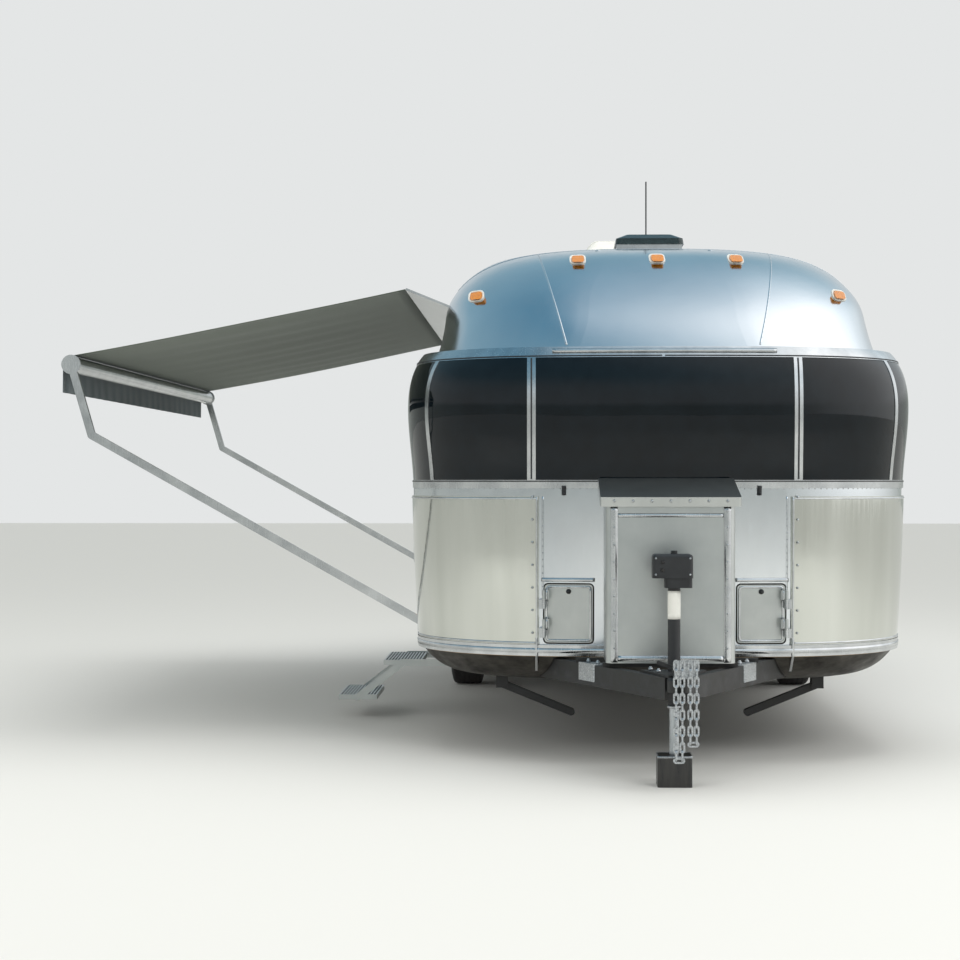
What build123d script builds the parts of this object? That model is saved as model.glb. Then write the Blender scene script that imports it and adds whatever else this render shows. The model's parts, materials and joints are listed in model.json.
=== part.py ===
from build123d import *
import os
from math import atan2, cos, degrees, hypot, pi, radians, sin, sqrt, tan

# Polished travel caravan with tandem axles, parked on its wheels and nose jack.
# Millimetres. The origin is the centre of the coupler's ball socket. +X is the road side,
# -X the kerb side with the door and the awning, +Y runs to the rear and +Z is up.
# Heights are given above the ground and turned into Z by level().

os.makedirs("parts", exist_ok=True)

# Driving sizes of the whole caravan
ball_height = 470
front_face = 1000
shell_length = 7660
wall_inside = 900
shoulder_inside = 700
wall = 45
bow_radius = 4000
rear_fullness = 0.85

# Outer skin by height: height, half width, how far the front sets back, corner radius in plan
belt = 1365
foot_half = 1224
belt_half = 1262
belt_corner = 790
hull_table = [
    (500, foot_half, 36, 760),
    (640, 1232, 25, 766),
    (780, 1240, 16, 772),
    (930, 1248, 9, 779),
    (1130, 1256, 3, 785),
    (belt, belt_half, 0, belt_corner),
    (1560, 1252, 16, 795),
    (1750, 1224, 55, 800),
    (1910, 1186, 98, 811),
    (2060, 1140, 150, 820),
    (2280, 1106, 330, 820),
    (2430, 1036, 560, 790),
    (2545, 922, 820, 740),
    (2615, 772, 1130, 650),
    (2648, 590, 1480, 520),
    (2660, 330, 1900, 280),
]

# Seams of the shell
shell_bottom = 540
cap_front_seam = 2250
cap_rear_seam = 7450
roof_seam = 2290

# Floor and belly pan: height, half width, front set back, corner radius
deck_thick = 22
pan_wall = 12
pan_gap = 1
pan_table = [
    (518, 1214, 46, 750),
    (468, 1170, 90, 700),
    (395, 900, 380, 480),
]

# Chassis and drawbar
rail_offset = 620
rail_wide = 50
rail_high = 100
rail_front = 1400
rail_rear = 8700
drawbar_angle = 25
clamp_sheet = 6
clamp_front = 690
clamp_rear = 830
clamp_lift = 22
drawbar_front = 70
drawbar_rear = 1640
crossmember_places = [3100, 4640, 6720]
notch_gap = 3
rail_notch = 600

# Coupler
ball_radius = 29.37
socket_gap = 0.4
socket_length = 38
plate_nose = 40
plate_tail = 150
plate_rear = 360
coupler_head_radius = 46
coupler_length = 300
coupler_low = 20
coupler_high = 42
coupler_round = 14
coupler_plate = 10
latch_wide = 44
latch_long = 96
latch_high = 34
latch_arm = 120
latch_arm_across = -84

# Safety chains, slung in loops on the pegs of a bar above the coupler
link_bar = 8
link_inner = 36
link_slot = 9.4
link_gap = 0.4
chain_loops = [(0, 12), (62, 10)]
chain_ahead = 64
chain_peg = 585
chain_foot = 44
peg_radius = 3.9
peg_bar_low = 512
peg_bar_thick = 10

# Wheels and axles
axle_places = [5250, 6100]
tyre_radius = 359
tyre_width = 223
rim_radius = 190
track_half = 1095
tyre_bead = 187
sidewall_high = 60
shoulder_in = 16
shoulder_down = 10
tread_in = 42
tyre_round = 6
# Rim's section: across from its middle, depth below the tyre's seat
rim_outer = [(99.5, 12), (71.5, 26), (20, 34), (40, 70), (44, 130), (62, 140)]
rim_inner = [(30, 124), (24, 70), (6, 44), (-99.5, 20)]
rim_holes = 10
rim_hole_circle = 98
rim_hole_radius = 15
hub_face = 62
hub_cap_thick = 20
hub_back = -10
hub_back_radius = 60
spindle_radius = 20
spindle_gap = 0.5
axle_tube = 76
arm_reach = 150
arm_inside = 880
spindle_past = 20
arm_thick = 30
axle_arm_high = 62
seat_gap = 0.3

# Wheel arches
arch_front = 4770
arch_rear = 6580
arch_top = 836
arch_low = 380
arch_lean = 90
arch_corner = 110
well_inside = 925
well_sheet = 6
well_lip = 20
arch_trim_inside = 1100
arch_trim_wide = 42

# Front window band
band_sill = 1340
pane_sill = 1380
pane_head = 1978
band_top = 2032
band_rear = 2150
band_rear_post = 45
mullion_place = 648
mullion_wide = 42
corner_post_angle = 32
corner_post_wide = 34
band_table = [
    (1300, 1270, -8, 795),
    (1365, 1270, -8, 795),
    (2000, 1240, 34, 800),
    (2036, 1214, 62, 800),
]
glass_set = 3
glass_thick = 6
inner_reveal = 20

# Side windows: side, centre, width, sill, head, corner radius
road, kerb = 1, -1
side_windows = [
    (road, 2640, 400, 1385, 1965, 70),
    (road, 3100, 400, 1385, 1965, 70),
    (road, 4600, 760, 1385, 1965, 70),
    (road, 6500, 620, 1480, 1965, 70),
    (kerb, 4160, 530, 1385, 1965, 70),
    (kerb, 4750, 530, 1385, 1965, 70),
    (kerb, 6350, 620, 1385, 1965, 70),
]
window_frame_wide = 28
window_frame_proud = 7

# Rear windows: centre across, width, sill, head, corner radius
rear_windows = [
    (0, 900, 1420, 1965, 80),
]
# Shoulder windows in the rear corners: centre along, width, sill, head
shoulder_along = 7800
shoulder_wide = 300
shoulder_sill = 1640
shoulder_head = 2300
shoulder_corner = 90

# Entry door
door_hinge = 3660
door_width = 670
door_sill = 600
door_head = 2215
door_corner = 90
door_gap = 6
hinge_out = 14
door_window_wide = 400
door_window_sill = 1330
door_window_head = 1930
door_window_corner = 60

# Hinges of the door and the hatches
hinge_radius = 9
hinge_pin = 4
hinge_knuckle = 45
hinge_leaf = 50
hinge_depth = 80
door_hinge_heights = [760, 1240, 1640]

# Stone guards and lower trim
guard_edge = 615
guard_top = 1300
guard_bottom = 578
guard_proud = 12
rub_top = 576
rub_bottom = 522
rub_proud = 16

# Front hatches
hatch_centre = 467
hatch_wide = 235
hatch_low = 588
hatch_high = 872
hatch_gap = 7
hatch_corner = 18
hatch_hinge_ahead = 14
hatch_hinge_off = 2
hatch_leaf = 25
hatch_hinge_heights = [660, 800]

# Handles beside and on the door
grab_ahead = 90
grab_low = 900
grab_high = 1680
grab_off = 55
grab_radius = 12
handle_height = 1180
handle_inset = 75
handle_wide = 70
handle_high = 150
handle_proud = 22

# Gas box on the drawbar
box_front = 550
box_depth = 400
box_wide = 600
box_bottom = 530
box_top_front = 1300
box_rise = 82
box_corner = 34
box_sheet = 5
bearer_inset = 70
bearer_wide = 40
lid_lip = 26
lid_skirt = 40
lid_gap = 0.3
lid_barrel = 5
lid_sheet = 5
lid_corner = 12
lid_over_front = 24
lid_over_rear = 8
bottle_radius = 138
bottle_height = 560
bottle_gap = 4
bottle_round = 60

# Nose jack
jack_place = 300
jack_tube_radius = 28.5
jack_ram_radius = 22
jack_top = 905
jack_bottom = 350
jack_head_wide = 182
jack_head_deep = 120
jack_head_high = 108
jack_head_across = -8
jack_head_round = 16
jack_neck_wide = 124
jack_neck_across = 18
jack_neck_high = 44
jack_motor_radius = 42
jack_crank_radius = 15
jack_ram_length = 430
jack_foot_wide = 155
jack_foot_high = 140
jack_foot_chamfer = 8
jack_bore_gap = 0.5

# Corner stabilisers
stabiliser_places = [1560, 8180]
stabiliser_pivot_x = 800
stabiliser_pivot = 342
stabiliser_arm = 380
stabiliser_wide = 50
stabiliser_high = 36
stabiliser_droop = 22
stabiliser_gap = 5
hanger_sheet = 8
hanger_wide = 60
pivot_radius = 8

# Awning on the kerb side
awning_front = 2080
awning_length = 4770
awning_rail_height = 2300
apex_out = 1320
apex_height = 2400
roller_out = 3120
roller_height = 2000
roller_radius = 45
fabric_thick = 4
slat_thick = 12
arm_base_height = 620
arm_bend_out = 3010
arm_bend_height = 1620
arm_wide = 42
arm_deep = 26
valance_drop = 160
roller_cap_radius = 52
arm_foot_high = 190

# Roof equipment
vent_places = [2720, 6700]
vent_wide = 360
vent_base_high = 26
vent_frame = 20
vent_barrel = 3.5
vent_line_in = 4
vent_lid_high = 34
vent_over = 10
vent_crown = 26
vent_crown_inset = 60
vent_round = 28
conditioner_place = 5000
conditioner_long = 1050
conditioner_wide = 700
conditioner_high = 265
conditioner_taper = 0.78
conditioner_skirt = 60
conditioner_round = 55
louvre_count = 9
louvre_wide = 22
louvre_deep = 14
louvre_pitch = 48
whip_place = 2960
whip_high = 430
whip_radius = 4
whip_base_radius = 22
whip_base_high = 30
aerial_across = 300
aerial_place = 3300
aerial_boom = 900
aerial_boom_wide = 26
aerial_low = 22
aerial_rods = 7
aerial_rod_long = 330
aerial_rod_radius = 5

# Lamps: across, height
marker_places = [(-410, 2528), (0, 2528), (410, 2528), (-937, 2333), (937, 2333)]
marker_wide = 62
marker_high = 44
marker_proud = 22
marker_corner = 12
tail_across = 980
tail_height = 900
tail_radius = 62
tail_proud = 18
tail_wide = 136

# Rear bumper
bumper_deep = 60
bumper_high = 90
bumper_half = 1000

# Entry step
step_place = 3325
step_wide = 600
step_tread = 220
step_upper_out = 1400
step_lower_out = 1660
step_upper = 325
step_lower = 125
step_thick = 28
step_inner = 960
step_side_high = 40
step_side_thick = 8
runner_inner = 600
runner_outer = 1080
runner_high = 56
runner_sheet = 6
runner_lip = 18
runner_foot = 90
runner_gap = 0.5

rear_face = front_face + shell_length


def level(height):
    """Z of a height above the ground."""
    return height - ball_height


def plan_face(height, half_width, front, rear, corner):
    """The body's outline in plan: bowed ends, round corners and straight sides."""
    reach = sqrt((bow_radius - corner) ** 2 - (half_width - corner) ** 2)
    scale = bow_radius / (bow_radius - corner)
    turn = bow_radius - reach
    blend_x = (half_width - corner) * scale
    blend_y = bow_radius - reach * scale
    middle = (atan2(half_width - corner, reach) + pi / 2) / 2
    mid_x = half_width - corner + corner * sin(middle)
    mid_y = turn - corner * cos(middle)
    with BuildSketch(Plane.XY.offset(level(height))) as outline:
        with BuildLine():
            ThreePointArc((-blend_x, front + blend_y), (0, front), (blend_x, front + blend_y))
            ThreePointArc((blend_x, front + blend_y), (mid_x, front + mid_y), (half_width, front + turn))
            Line((half_width, front + turn), (half_width, rear - turn))
            ThreePointArc((half_width, rear - turn), (mid_x, rear - mid_y), (blend_x, rear - blend_y))
            ThreePointArc((blend_x, rear - blend_y), (0, rear), (-blend_x, rear - blend_y))
            ThreePointArc((-blend_x, rear - blend_y), (-mid_x, rear - mid_y), (-half_width, rear - turn))
            Line((-half_width, rear - turn), (-half_width, front + turn))
            ThreePointArc((-half_width, front + turn), (-mid_x, front + mid_y), (-blend_x, front + blend_y))
        make_face()
    return outline.sketch


def recede(rise, run, inset, drop):
    """How far a leaning end moves back when its skin is set in and its section drops."""
    length = hypot(rise, run)
    return (inset - drop * run / length) * length / rise


def hull_faces(inset):
    """Sections of the shell, set in square to the skin by inset, or out if it is negative."""
    faces = []
    last = len(hull_table) - 1
    for place, (height, half_width, back, corner) in enumerate(hull_table):
        below = hull_table[max(place - 1, 0)]
        above = hull_table[min(place + 1, last)]
        rise = above[0] - below[0]
        lean = max(below[1] - above[1], 0)
        run = max(above[2] - below[2], 0)
        slope = hypot(rise, lean)
        drop = inset * lean / slope
        front = back + recede(rise, run, inset, drop)
        rear = rear_fullness * back + recede(rise, rear_fullness * run, inset, drop)
        faces.append(plan_face(height - drop, half_width - inset * rise / slope,
                               front_face + front, rear_face - rear, corner - inset))
    return faces


def hull(inset):
    """The solid inside the shell's skin, set in or out by inset, in two lofts that meet at the belt."""
    faces = hull_faces(inset)
    middle = [row[0] for row in hull_table].index(belt)
    with BuildPart() as body:
        loft(sections=faces[:middle + 1])
        loft(sections=faces[middle:])
    return body.part


def skin_half(height):
    """Half the shell's width at a height, between the rows of its table."""
    for low, high in zip(hull_table, hull_table[1:]):
        if low[0] <= height <= high[0]:
            return low[1] + (high[1] - low[1]) * (height - low[0]) / (high[0] - low[0])


def keep(x, y, height):
    """Keep only what lies between the pairs x, y and height."""
    with Locations(((x[0] + x[1]) / 2, (y[0] + y[1]) / 2, level((height[0] + height[1]) / 2))):
        Box(x[1] - x[0], y[1] - y[0], height[1] - height[0], mode=Mode.INTERSECT)


def cut(x, y, height):
    """Cut away what lies between the pairs x, y and height."""
    with Locations(((x[0] + x[1]) / 2, (y[0] + y[1]) / 2, level((height[0] + height[1]) / 2))):
        Box(x[1] - x[0], y[1] - y[0], height[1] - height[0], mode=Mode.SUBTRACT)


def link(start, finish, height):
    """Sketch a round-ended bar between two points of the plane."""
    across, along = finish[0] - start[0], finish[1] - start[1]
    with Locations(((start[0] + finish[0]) / 2, (start[1] + finish[1]) / 2)):
        SlotCenterToCenter(hypot(across, along), height, rotation=degrees(atan2(along, across)))


def side_prism(side, centre, width, sill, head, corner, grow=0.0, inside=wall_inside):
    """A rounded window prism through one side wall, from inside outwards."""
    with BuildPart() as prism:
        with BuildSketch(Plane.YZ.offset(side * inside)):
            with Locations((centre, level((sill + head) / 2))):
                RectangleRounded(width + 2 * grow, head - sill + 2 * grow, corner + grow)
        extrude(amount=side * (span - inside))
    return prism.part


def end_prism(centre, width, sill, head, corner, start, stop, grow=0.0):
    """A rounded prism along Y through an end wall, from start to stop."""
    with BuildPart() as prism:
        with BuildSketch(Plane.XZ.offset(-start)):
            with Locations((centre, level((sill + head) / 2))):
                RectangleRounded(width + 2 * grow, head - sill + 2 * grow, corner + grow)
        extrude(amount=start - stop)
    return prism.part


def arch_prism(grow, inner, outer):
    """The wheel arch's outline in side view, grown, on both sides between inner and outer."""
    with BuildPart() as prism:
        for side in (road, kerb):
            with BuildSketch(Plane.YZ.offset(side * inner)):
                with BuildLine():
                    FilletPolyline((arch_front - grow, level(arch_low)),
                                   (arch_front + arch_lean - grow, level(arch_top + grow)),
                                   (arch_rear - arch_lean + grow, level(arch_top + grow)),
                                   (arch_rear + grow, level(arch_low)),
                                   radius=arch_corner + grow)
                    Line((arch_rear + grow, level(arch_low)), (arch_front - grow, level(arch_low)))
                make_face()
            extrude(amount=side * (outer - inner))
    return prism.part


span = 1500
far = (-span, span)
above_roof = hull_table[-1][0] + 40
whole = (0, above_roof)
past = 200
end_depth = 500
corner_depth = 900
outer_hull = hull(0)
inner_hull = hull(wall)

with BuildPart() as shell:
    add(outer_hull)
    add(inner_hull, mode=Mode.SUBTRACT)
wells = arch_prism(0, well_inside, span)


def pane_faces(height):
    """Plan outlines of the front band's panes: centre, two corners and two sides."""
    corner = belt_corner
    centre_x = belt_half - corner
    reach = sqrt((bow_radius - corner) ** 2 - centre_x ** 2)
    centre_y = front_face + bow_radius - reach
    along_x = cos(radians(corner_post_angle))
    along_y = -sin(radians(corner_post_angle))
    half = corner_post_wide / 2
    near, away = corner / 3, 2 * corner
    edge = mullion_place + mullion_wide / 2
    rear_edge = band_rear - band_rear_post
    ahead = front_face - past
    behind = front_face + end_depth
    first = [(centre_x + along_x * d + along_y * half, centre_y + along_y * d - along_x * half)
             for d in (near, away)]
    second = [(centre_x + along_x * d - along_y * half, centre_y + along_y * d + along_x * half)
              for d in (near, away)]
    corner_pane = [(edge, ahead), (edge, behind), first[0], first[1]]
    side_pane = [second[0], second[1], (span, rear_edge), (wall_inside, rear_edge)]
    with BuildSketch(Plane.XY.offset(level(height))) as panes:
        inner_edge = mullion_place - mullion_wide / 2
        with Locations((0, (ahead + behind) / 2)):
            Rectangle(2 * inner_edge, behind - ahead)
        for outline in (corner_pane, side_pane):
            with BuildLine() as loop:
                Polyline(*outline, close=True)
            make_face(loop.edges())
            with BuildLine() as mirrored:
                Polyline(*[(-x, y) for x, y in outline], close=True)
            make_face(mirrored.edges())
    return panes.sketch


with BuildPart() as pane_zone:
    extrude(pane_faces(pane_sill), amount=pane_head - pane_sill)
with BuildPart() as reveal_zone:
    extrude(pane_faces(pane_sill), amount=pane_head - pane_sill - inner_reveal)

# Front cap below the belt, with its two hatch openings
with BuildPart() as front_lower_panel:
    add(shell.part)
    keep(far, (0, cap_front_seam), (shell_bottom, belt))
    for side in (road, kerb):
        add(end_prism(side * hatch_centre, hatch_wide, hatch_low, hatch_high, hatch_corner,
                      front_face - past, front_face + end_depth, hatch_gap), mode=Mode.SUBTRACT)
front_lower_panel.part.label = "front_lower_panel"
export_step(front_lower_panel.part, "parts/front_lower_panel.step")

# Front dome, open behind the window band
with BuildPart() as front_dome:
    add(shell.part)
    keep(far, (0, cap_front_seam), (belt, above_roof))
    add(reveal_zone.part, mode=Mode.SUBTRACT)
front_dome.part.label = "front_dome"
export_step(front_dome.part, "parts/front_dome.step")

# Side walls with windows, wheel arches and the doorway
hinge_x = belt_half + hinge_out
door_centre = door_hinge - door_gap - door_width / 2


def door_prism(grow):
    """The door's space: a rounded outline, its latch edge round the hinge line."""
    with BuildPart() as prism:
        add(side_prism(kerb, door_centre, door_width, door_sill, door_head, door_corner, grow))
        with Locations((-hinge_x, door_hinge, level((door_sill + door_head) / 2))):
            Cylinder(door_width + door_gap + grow, door_head - door_sill + 4 * door_corner,
                     mode=Mode.INTERSECT)
    return prism.part


def hinge_half(line, corner, height, bore=0.0):
    """Half a hinge: a knuckle round its upright line and a web from there to the skin."""
    with BuildPart() as half:
        with Locations((line[0], line[1], level(height))):
            Cylinder(hinge_radius, hinge_knuckle)
        with Locations(((line[0] + corner[0]) / 2, (line[1] + corner[1]) / 2, level(height))):
            Box(abs(corner[0] - line[0]), abs(corner[1] - line[1]), hinge_knuckle)
        if bore:
            with Locations((line[0], line[1], level(height))):
                Cylinder(bore, hinge_knuckle, mode=Mode.SUBTRACT)
        add(outer_hull, mode=Mode.SUBTRACT)
    return half.part


door_line = (-hinge_x, door_hinge)
hatch_line_x = hatch_centre + hatch_wide / 2 + hatch_hinge_off
hatch_line_y = front_face + hatch_hinge_ahead
pin_bore = hinge_pin + seat_gap
upper_half = hinge_knuckle / 2 + seat_gap
door_space = door_prism(0)
doorway = door_prism(door_gap)
window_prisms = [side_prism(*row) for row in side_windows]


def side_wall(side):
    """One side wall: skin to lining, cut for its windows and the wheel arch."""
    with BuildPart() as panel:
        add(shell.part)
        keep((0, span) if side == road else (-span, 0), (cap_front_seam, cap_rear_seam),
             (shell_bottom, roof_seam))
        for row, prism in zip(side_windows, window_prisms):
            if row[0] == side:
                add(prism, mode=Mode.SUBTRACT)
        add(wells, mode=Mode.SUBTRACT)
    return panel


side_wall_road = side_wall(road)
side_wall_road.part.label = "side_wall_road"
export_step(side_wall_road.part, "parts/side_wall_road.step")

with BuildPart() as side_wall_kerb:
    add(side_wall(kerb).part)
    add(doorway, mode=Mode.SUBTRACT)
side_wall_kerb.part.label = "side_wall_kerb"
export_step(side_wall_kerb.part, "parts/side_wall_kerb.step")

# Roof between the caps
with BuildPart() as roof_panel:
    add(shell.part)
    keep(far, (cap_front_seam, cap_rear_seam), (roof_seam, above_roof))
roof_panel.part.label = "roof_panel"
export_step(roof_panel.part, "parts/roof_panel.step")

# Rear cap with its window and the shoulder windows
rear_prisms = [end_prism(*row, rear_face - corner_depth, rear_face + past) for row in rear_windows]
shoulder_prisms = [side_prism(side, shoulder_along, shoulder_wide, shoulder_sill, shoulder_head,
                              shoulder_corner, 0, shoulder_inside) for side in (road, kerb)]
with BuildPart() as rear_cap:
    add(shell.part)
    keep(far, (cap_rear_seam, rear_face + 100), (shell_bottom, above_roof))
    for prism in rear_prisms + shoulder_prisms:
        add(prism, mode=Mode.SUBTRACT)
rear_cap.part.label = "rear_cap"
export_step(rear_cap.part, "parts/rear_cap.step")

# Floor deck under the shell
with BuildPart() as floor_deck:
    add(outer_hull)
    keep(far, (0, rear_face + 100), (shell_bottom - deck_thick, shell_bottom))
    add(wells, mode=Mode.SUBTRACT)
floor_deck.part.label = "floor_deck"
export_step(floor_deck.part, "parts/floor_deck.step")


def drawbar(grow):
    """The two drawbar rails, meeting at the coupler, grown all round."""
    with BuildPart() as rails:
        for side in (road, kerb):
            angle = side * drawbar_angle
            start = (drawbar_front * tan(radians(angle)), drawbar_front)
            finish = (drawbar_rear * tan(radians(angle)), drawbar_rear)
            middle = ((start[0] + finish[0]) / 2, (start[1] + finish[1]) / 2)
            with BuildSketch(Plane.XY.offset(level(rail_low - grow))):
                with Locations(middle):
                    Rectangle(rail_wide + 2 * grow, (drawbar_rear - drawbar_front) / cos(radians(angle)),
                              rotation=-angle)
            extrude(amount=rail_high + 2 * grow)
    return rails.part


rail_low = pan_table[-1][0] + pan_wall + pan_gap
deck_low = shell_bottom - deck_thick
hanger_span = stabiliser_wide + 2 * stabiliser_gap + 2 * hanger_sheet
with BuildPart() as chassis_frame:
    add(drawbar(0))
    for side in (road, kerb):
        with Locations((side * rail_offset, (rail_front + rail_rear) / 2, level(rail_low + rail_high / 2))):
            Box(rail_wide, rail_rear - rail_front, rail_high)
    for place in crossmember_places:
        with Locations((0, place, level(rail_low + rail_high / 2))):
            Box(2 * rail_offset, rail_wide, rail_high)
    for place in stabiliser_places:
        with Locations((0, place, level(rail_low + rail_high / 2))):
            Box(2 * stabiliser_pivot_x + hanger_wide, hanger_span, rail_high)
        for side in (road, kerb):
            hanger_low = stabiliser_pivot - stabiliser_high / 2
            with Locations((side * stabiliser_pivot_x, place, level((hanger_low + rail_low) / 2))):
                Box(hanger_wide, hanger_span, rail_low - hanger_low)
                Box(hanger_wide, hanger_span - 2 * hanger_sheet, rail_low - hanger_low,
                    mode=Mode.SUBTRACT)
            with Locations((side * stabiliser_pivot_x, place, level(stabiliser_pivot))):
                Cylinder(pivot_radius, hanger_span, rotation=(90, 0, 0))
    # Bearers across the drawbar that carry the gas box
    for place in (box_front + bearer_inset, box_front + box_depth - bearer_inset):
        reach = place * tan(radians(drawbar_angle)) + rail_wide / 2
        with Locations((0, place, level((rail_low + rail_high + box_bottom - seat_gap) / 2))):
            Box(2 * reach, bearer_wide, box_bottom - seat_gap - rail_low - rail_high)
    # Runners of the entry step, hung from the kerb-side rail and from the floor's edge
    for edge in (-1, 1):
        web = step_place + edge * (step_wide / 2 + step_side_thick / 2 + runner_gap + runner_sheet / 2)
        lips = step_place + edge * (step_wide / 2 + runner_gap + runner_sheet) - edge * runner_lip / 2
        with Locations((-(runner_inner + runner_outer) / 2, web, level(step_upper))):
            Box(runner_outer - runner_inner, runner_sheet, runner_high)
        for half in (-1, 1):
            with Locations((-(runner_inner + runner_outer) / 2, lips,
                            level(step_upper) + half * (runner_high - runner_sheet) / 2)):
                Box(runner_outer - runner_inner, runner_lip, runner_sheet)
        for out, top in ((rail_offset, rail_low), (runner_outer - runner_foot / 2, deck_low)):
            low = step_upper + runner_high / 2
            with Locations((-out, web, level((low + top) / 2))):
                Box(runner_foot, runner_sheet, top - low)
chassis_frame.part.label = "chassis_frame"
export_step(chassis_frame.part, "parts/chassis_frame.step")

# Clamps over the drawbar's rails at both sides of the gas box
with BuildPart() as drawbar_clamps:
    add(drawbar(seat_gap + clamp_sheet))
    add(drawbar(seat_gap), mode=Mode.SUBTRACT)
    keep(far, (clamp_front, clamp_rear), (rail_low + clamp_lift, box_bottom))
drawbar_clamps.part.label = "drawbar_clamps"
export_step(drawbar_clamps.part, "parts/drawbar_clamps.step")

# Belly pan: a tray under the floor, notched round the drawbar and the rails
with BuildPart() as belly_pan:
    loft(sections=[plan_face(h, w, front_face + b, rear_face - b, c) for h, w, b, c in pan_table])
    floor = pan_table[-1][0]
    loft(sections=[plan_face(h + (pan_wall if h == floor else 0), w - pan_wall,
                             front_face + b + pan_wall, rear_face - b - pan_wall, c - pan_wall)
                   for h, w, b, c in pan_table], mode=Mode.SUBTRACT)
    add(wells, mode=Mode.SUBTRACT)
    add(drawbar(notch_gap), mode=Mode.SUBTRACT)
    for side in (road, kerb):
        with Locations((side * rail_offset, rear_face, level(rail_low + rail_high / 2))):
            Box(rail_wide + 2 * notch_gap, rail_notch, rail_high + 2 * notch_gap, mode=Mode.SUBTRACT)
        for place in stabiliser_places:
            with Locations((side * stabiliser_pivot_x, place, level(rail_low + rail_high / 2))):
                Box(hanger_wide + 2 * notch_gap, hanger_span + 2 * notch_gap, 2 * rail_high,
                    mode=Mode.SUBTRACT)
    for edge in (-1, 1):
        web = step_place + edge * (step_wide / 2 + step_side_thick / 2 + runner_gap + runner_sheet / 2)
        for out in (rail_offset, runner_outer - runner_foot / 2):
            with Locations((-out, web, level(rail_low))):
                Box(runner_foot + 2 * notch_gap, runner_sheet + 2 * notch_gap, 2 * rail_high,
                    mode=Mode.SUBTRACT)
belly_pan.part.label = "belly_pan"
export_step(belly_pan.part, "parts/belly_pan.step")

# Liners of the wheel wells
with BuildPart() as wheel_wells:
    add(arch_prism(-seat_gap, well_inside + seat_gap, foot_half - well_lip))
    add(arch_prism(-well_sheet - seat_gap, well_inside + well_sheet + seat_gap, span),
        mode=Mode.SUBTRACT)
    cut(far, (0, rear_face), (0, pan_table[-1][0] + pan_gap))
wheel_wells.part.label = "wheel_wells"
export_step(wheel_wells.part, "parts/wheel_wells.step")

# Front window band: a proud frame with five panes
with BuildPart() as band_body:
    loft(sections=[plan_face(h, w, front_face + b, rear_face, c) for h, w, b, c in band_table])
    add(outer_hull, mode=Mode.SUBTRACT)
    keep(far, (0, band_rear), (band_sill, band_top))
with BuildPart() as front_window_frame:
    add(band_body.part)
    add(pane_zone.part, mode=Mode.SUBTRACT)
front_window_frame.part.label = "front_window_frame"
export_step(front_window_frame.part, "parts/front_window_frame.step")


def band_layer(inset):
    """The band's solid, its skin set in."""
    with BuildPart() as layer:
        loft(sections=[plan_face(h, w - inset, front_face + b + inset, rear_face, c - inset)
                       for h, w, b, c in band_table])
    return layer.part


with BuildPart() as front_window_glass:
    add(band_layer(glass_set))
    add(band_layer(glass_set + glass_thick), mode=Mode.SUBTRACT)
    add(pane_zone.part, mode=Mode.INTERSECT)
front_window_glass.part.label = "front_window_glass"
export_step(front_window_glass.part, "parts/front_window_glass.step")

# Window frames on the sides and the rear
frame_hull = hull(-window_frame_proud)
with BuildPart() as window_frames:
    for row in side_windows:
        add(side_prism(*row, grow=window_frame_wide))
    for side in (road, kerb):
        add(side_prism(side, shoulder_along, shoulder_wide, shoulder_sill, shoulder_head,
                       shoulder_corner, window_frame_wide, shoulder_inside))
    for row in rear_windows:
        add(end_prism(*row, rear_face - corner_depth, rear_face + past, grow=window_frame_wide))
    for prism in window_prisms + rear_prisms + shoulder_prisms:
        add(prism, mode=Mode.SUBTRACT)
    add(outer_hull, mode=Mode.SUBTRACT)
    add(frame_hull, mode=Mode.INTERSECT)
window_frames.part.label = "window_frames"
export_step(window_frames.part, "parts/window_frames.step")

glass_outer = hull(glass_set)
glass_inner = hull(glass_set + glass_thick)
with BuildPart() as window_glass:
    for prism in window_prisms + rear_prisms + shoulder_prisms:
        add(prism)
    add(glass_outer, mode=Mode.INTERSECT)
    add(glass_inner, mode=Mode.SUBTRACT)
window_glass.part.label = "window_glass"
export_step(window_glass.part, "parts/window_glass.step")

# Entry door and its pane
door_pane = side_prism(kerb, door_centre, door_window_wide, door_window_sill, door_window_head,
                       door_window_corner)
with BuildPart() as entry_door:
    add(shell.part)
    add(door_space, mode=Mode.INTERSECT)
    add(door_pane, mode=Mode.SUBTRACT)
    for height in door_hinge_heights:
        add(hinge_half(door_line, (hinge_depth - hinge_x, door_hinge - hinge_leaf), height + upper_half,
                       pin_bore))
entry_door.part.label = "entry_door"
export_step(entry_door.part, "parts/entry_door.step")

# Lock with its paddle handle on the door, and the grab handle ahead of it
latch_edge = door_hinge - door_gap - door_width
with BuildPart() as door_lock:
    add(side_prism(kerb, latch_edge + handle_inset, handle_wide, handle_height - handle_high / 2,
                   handle_height + handle_high / 2, handle_wide / 4))
    add(hull(-handle_proud), mode=Mode.INTERSECT)
    add(outer_hull, mode=Mode.SUBTRACT)
door_lock.part.label = "door_lock"
export_step(door_lock.part, "parts/door_lock.step")

grab_x = belt_half + grab_off
grab_bend = 2 * grab_radius
with BuildPart() as grab_handle:
    with BuildLine() as grab_line:
        FilletPolyline((2 * wall - belt_half, latch_edge - grab_ahead, level(grab_low)),
                       (-grab_x, latch_edge - grab_ahead, level(grab_low)),
                       (-grab_x, latch_edge - grab_ahead, level(grab_high)),
                       (2 * wall - belt_half, latch_edge - grab_ahead, level(grab_high)),
                       radius=grab_bend)
    with BuildSketch(Plane(origin=grab_line.line @ 0, z_dir=grab_line.line % 0)):
        Circle(grab_radius)
    sweep()
    add(outer_hull, mode=Mode.SUBTRACT)
grab_handle.part.label = "grab_handle"
export_step(grab_handle.part, "parts/grab_handle.step")

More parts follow.
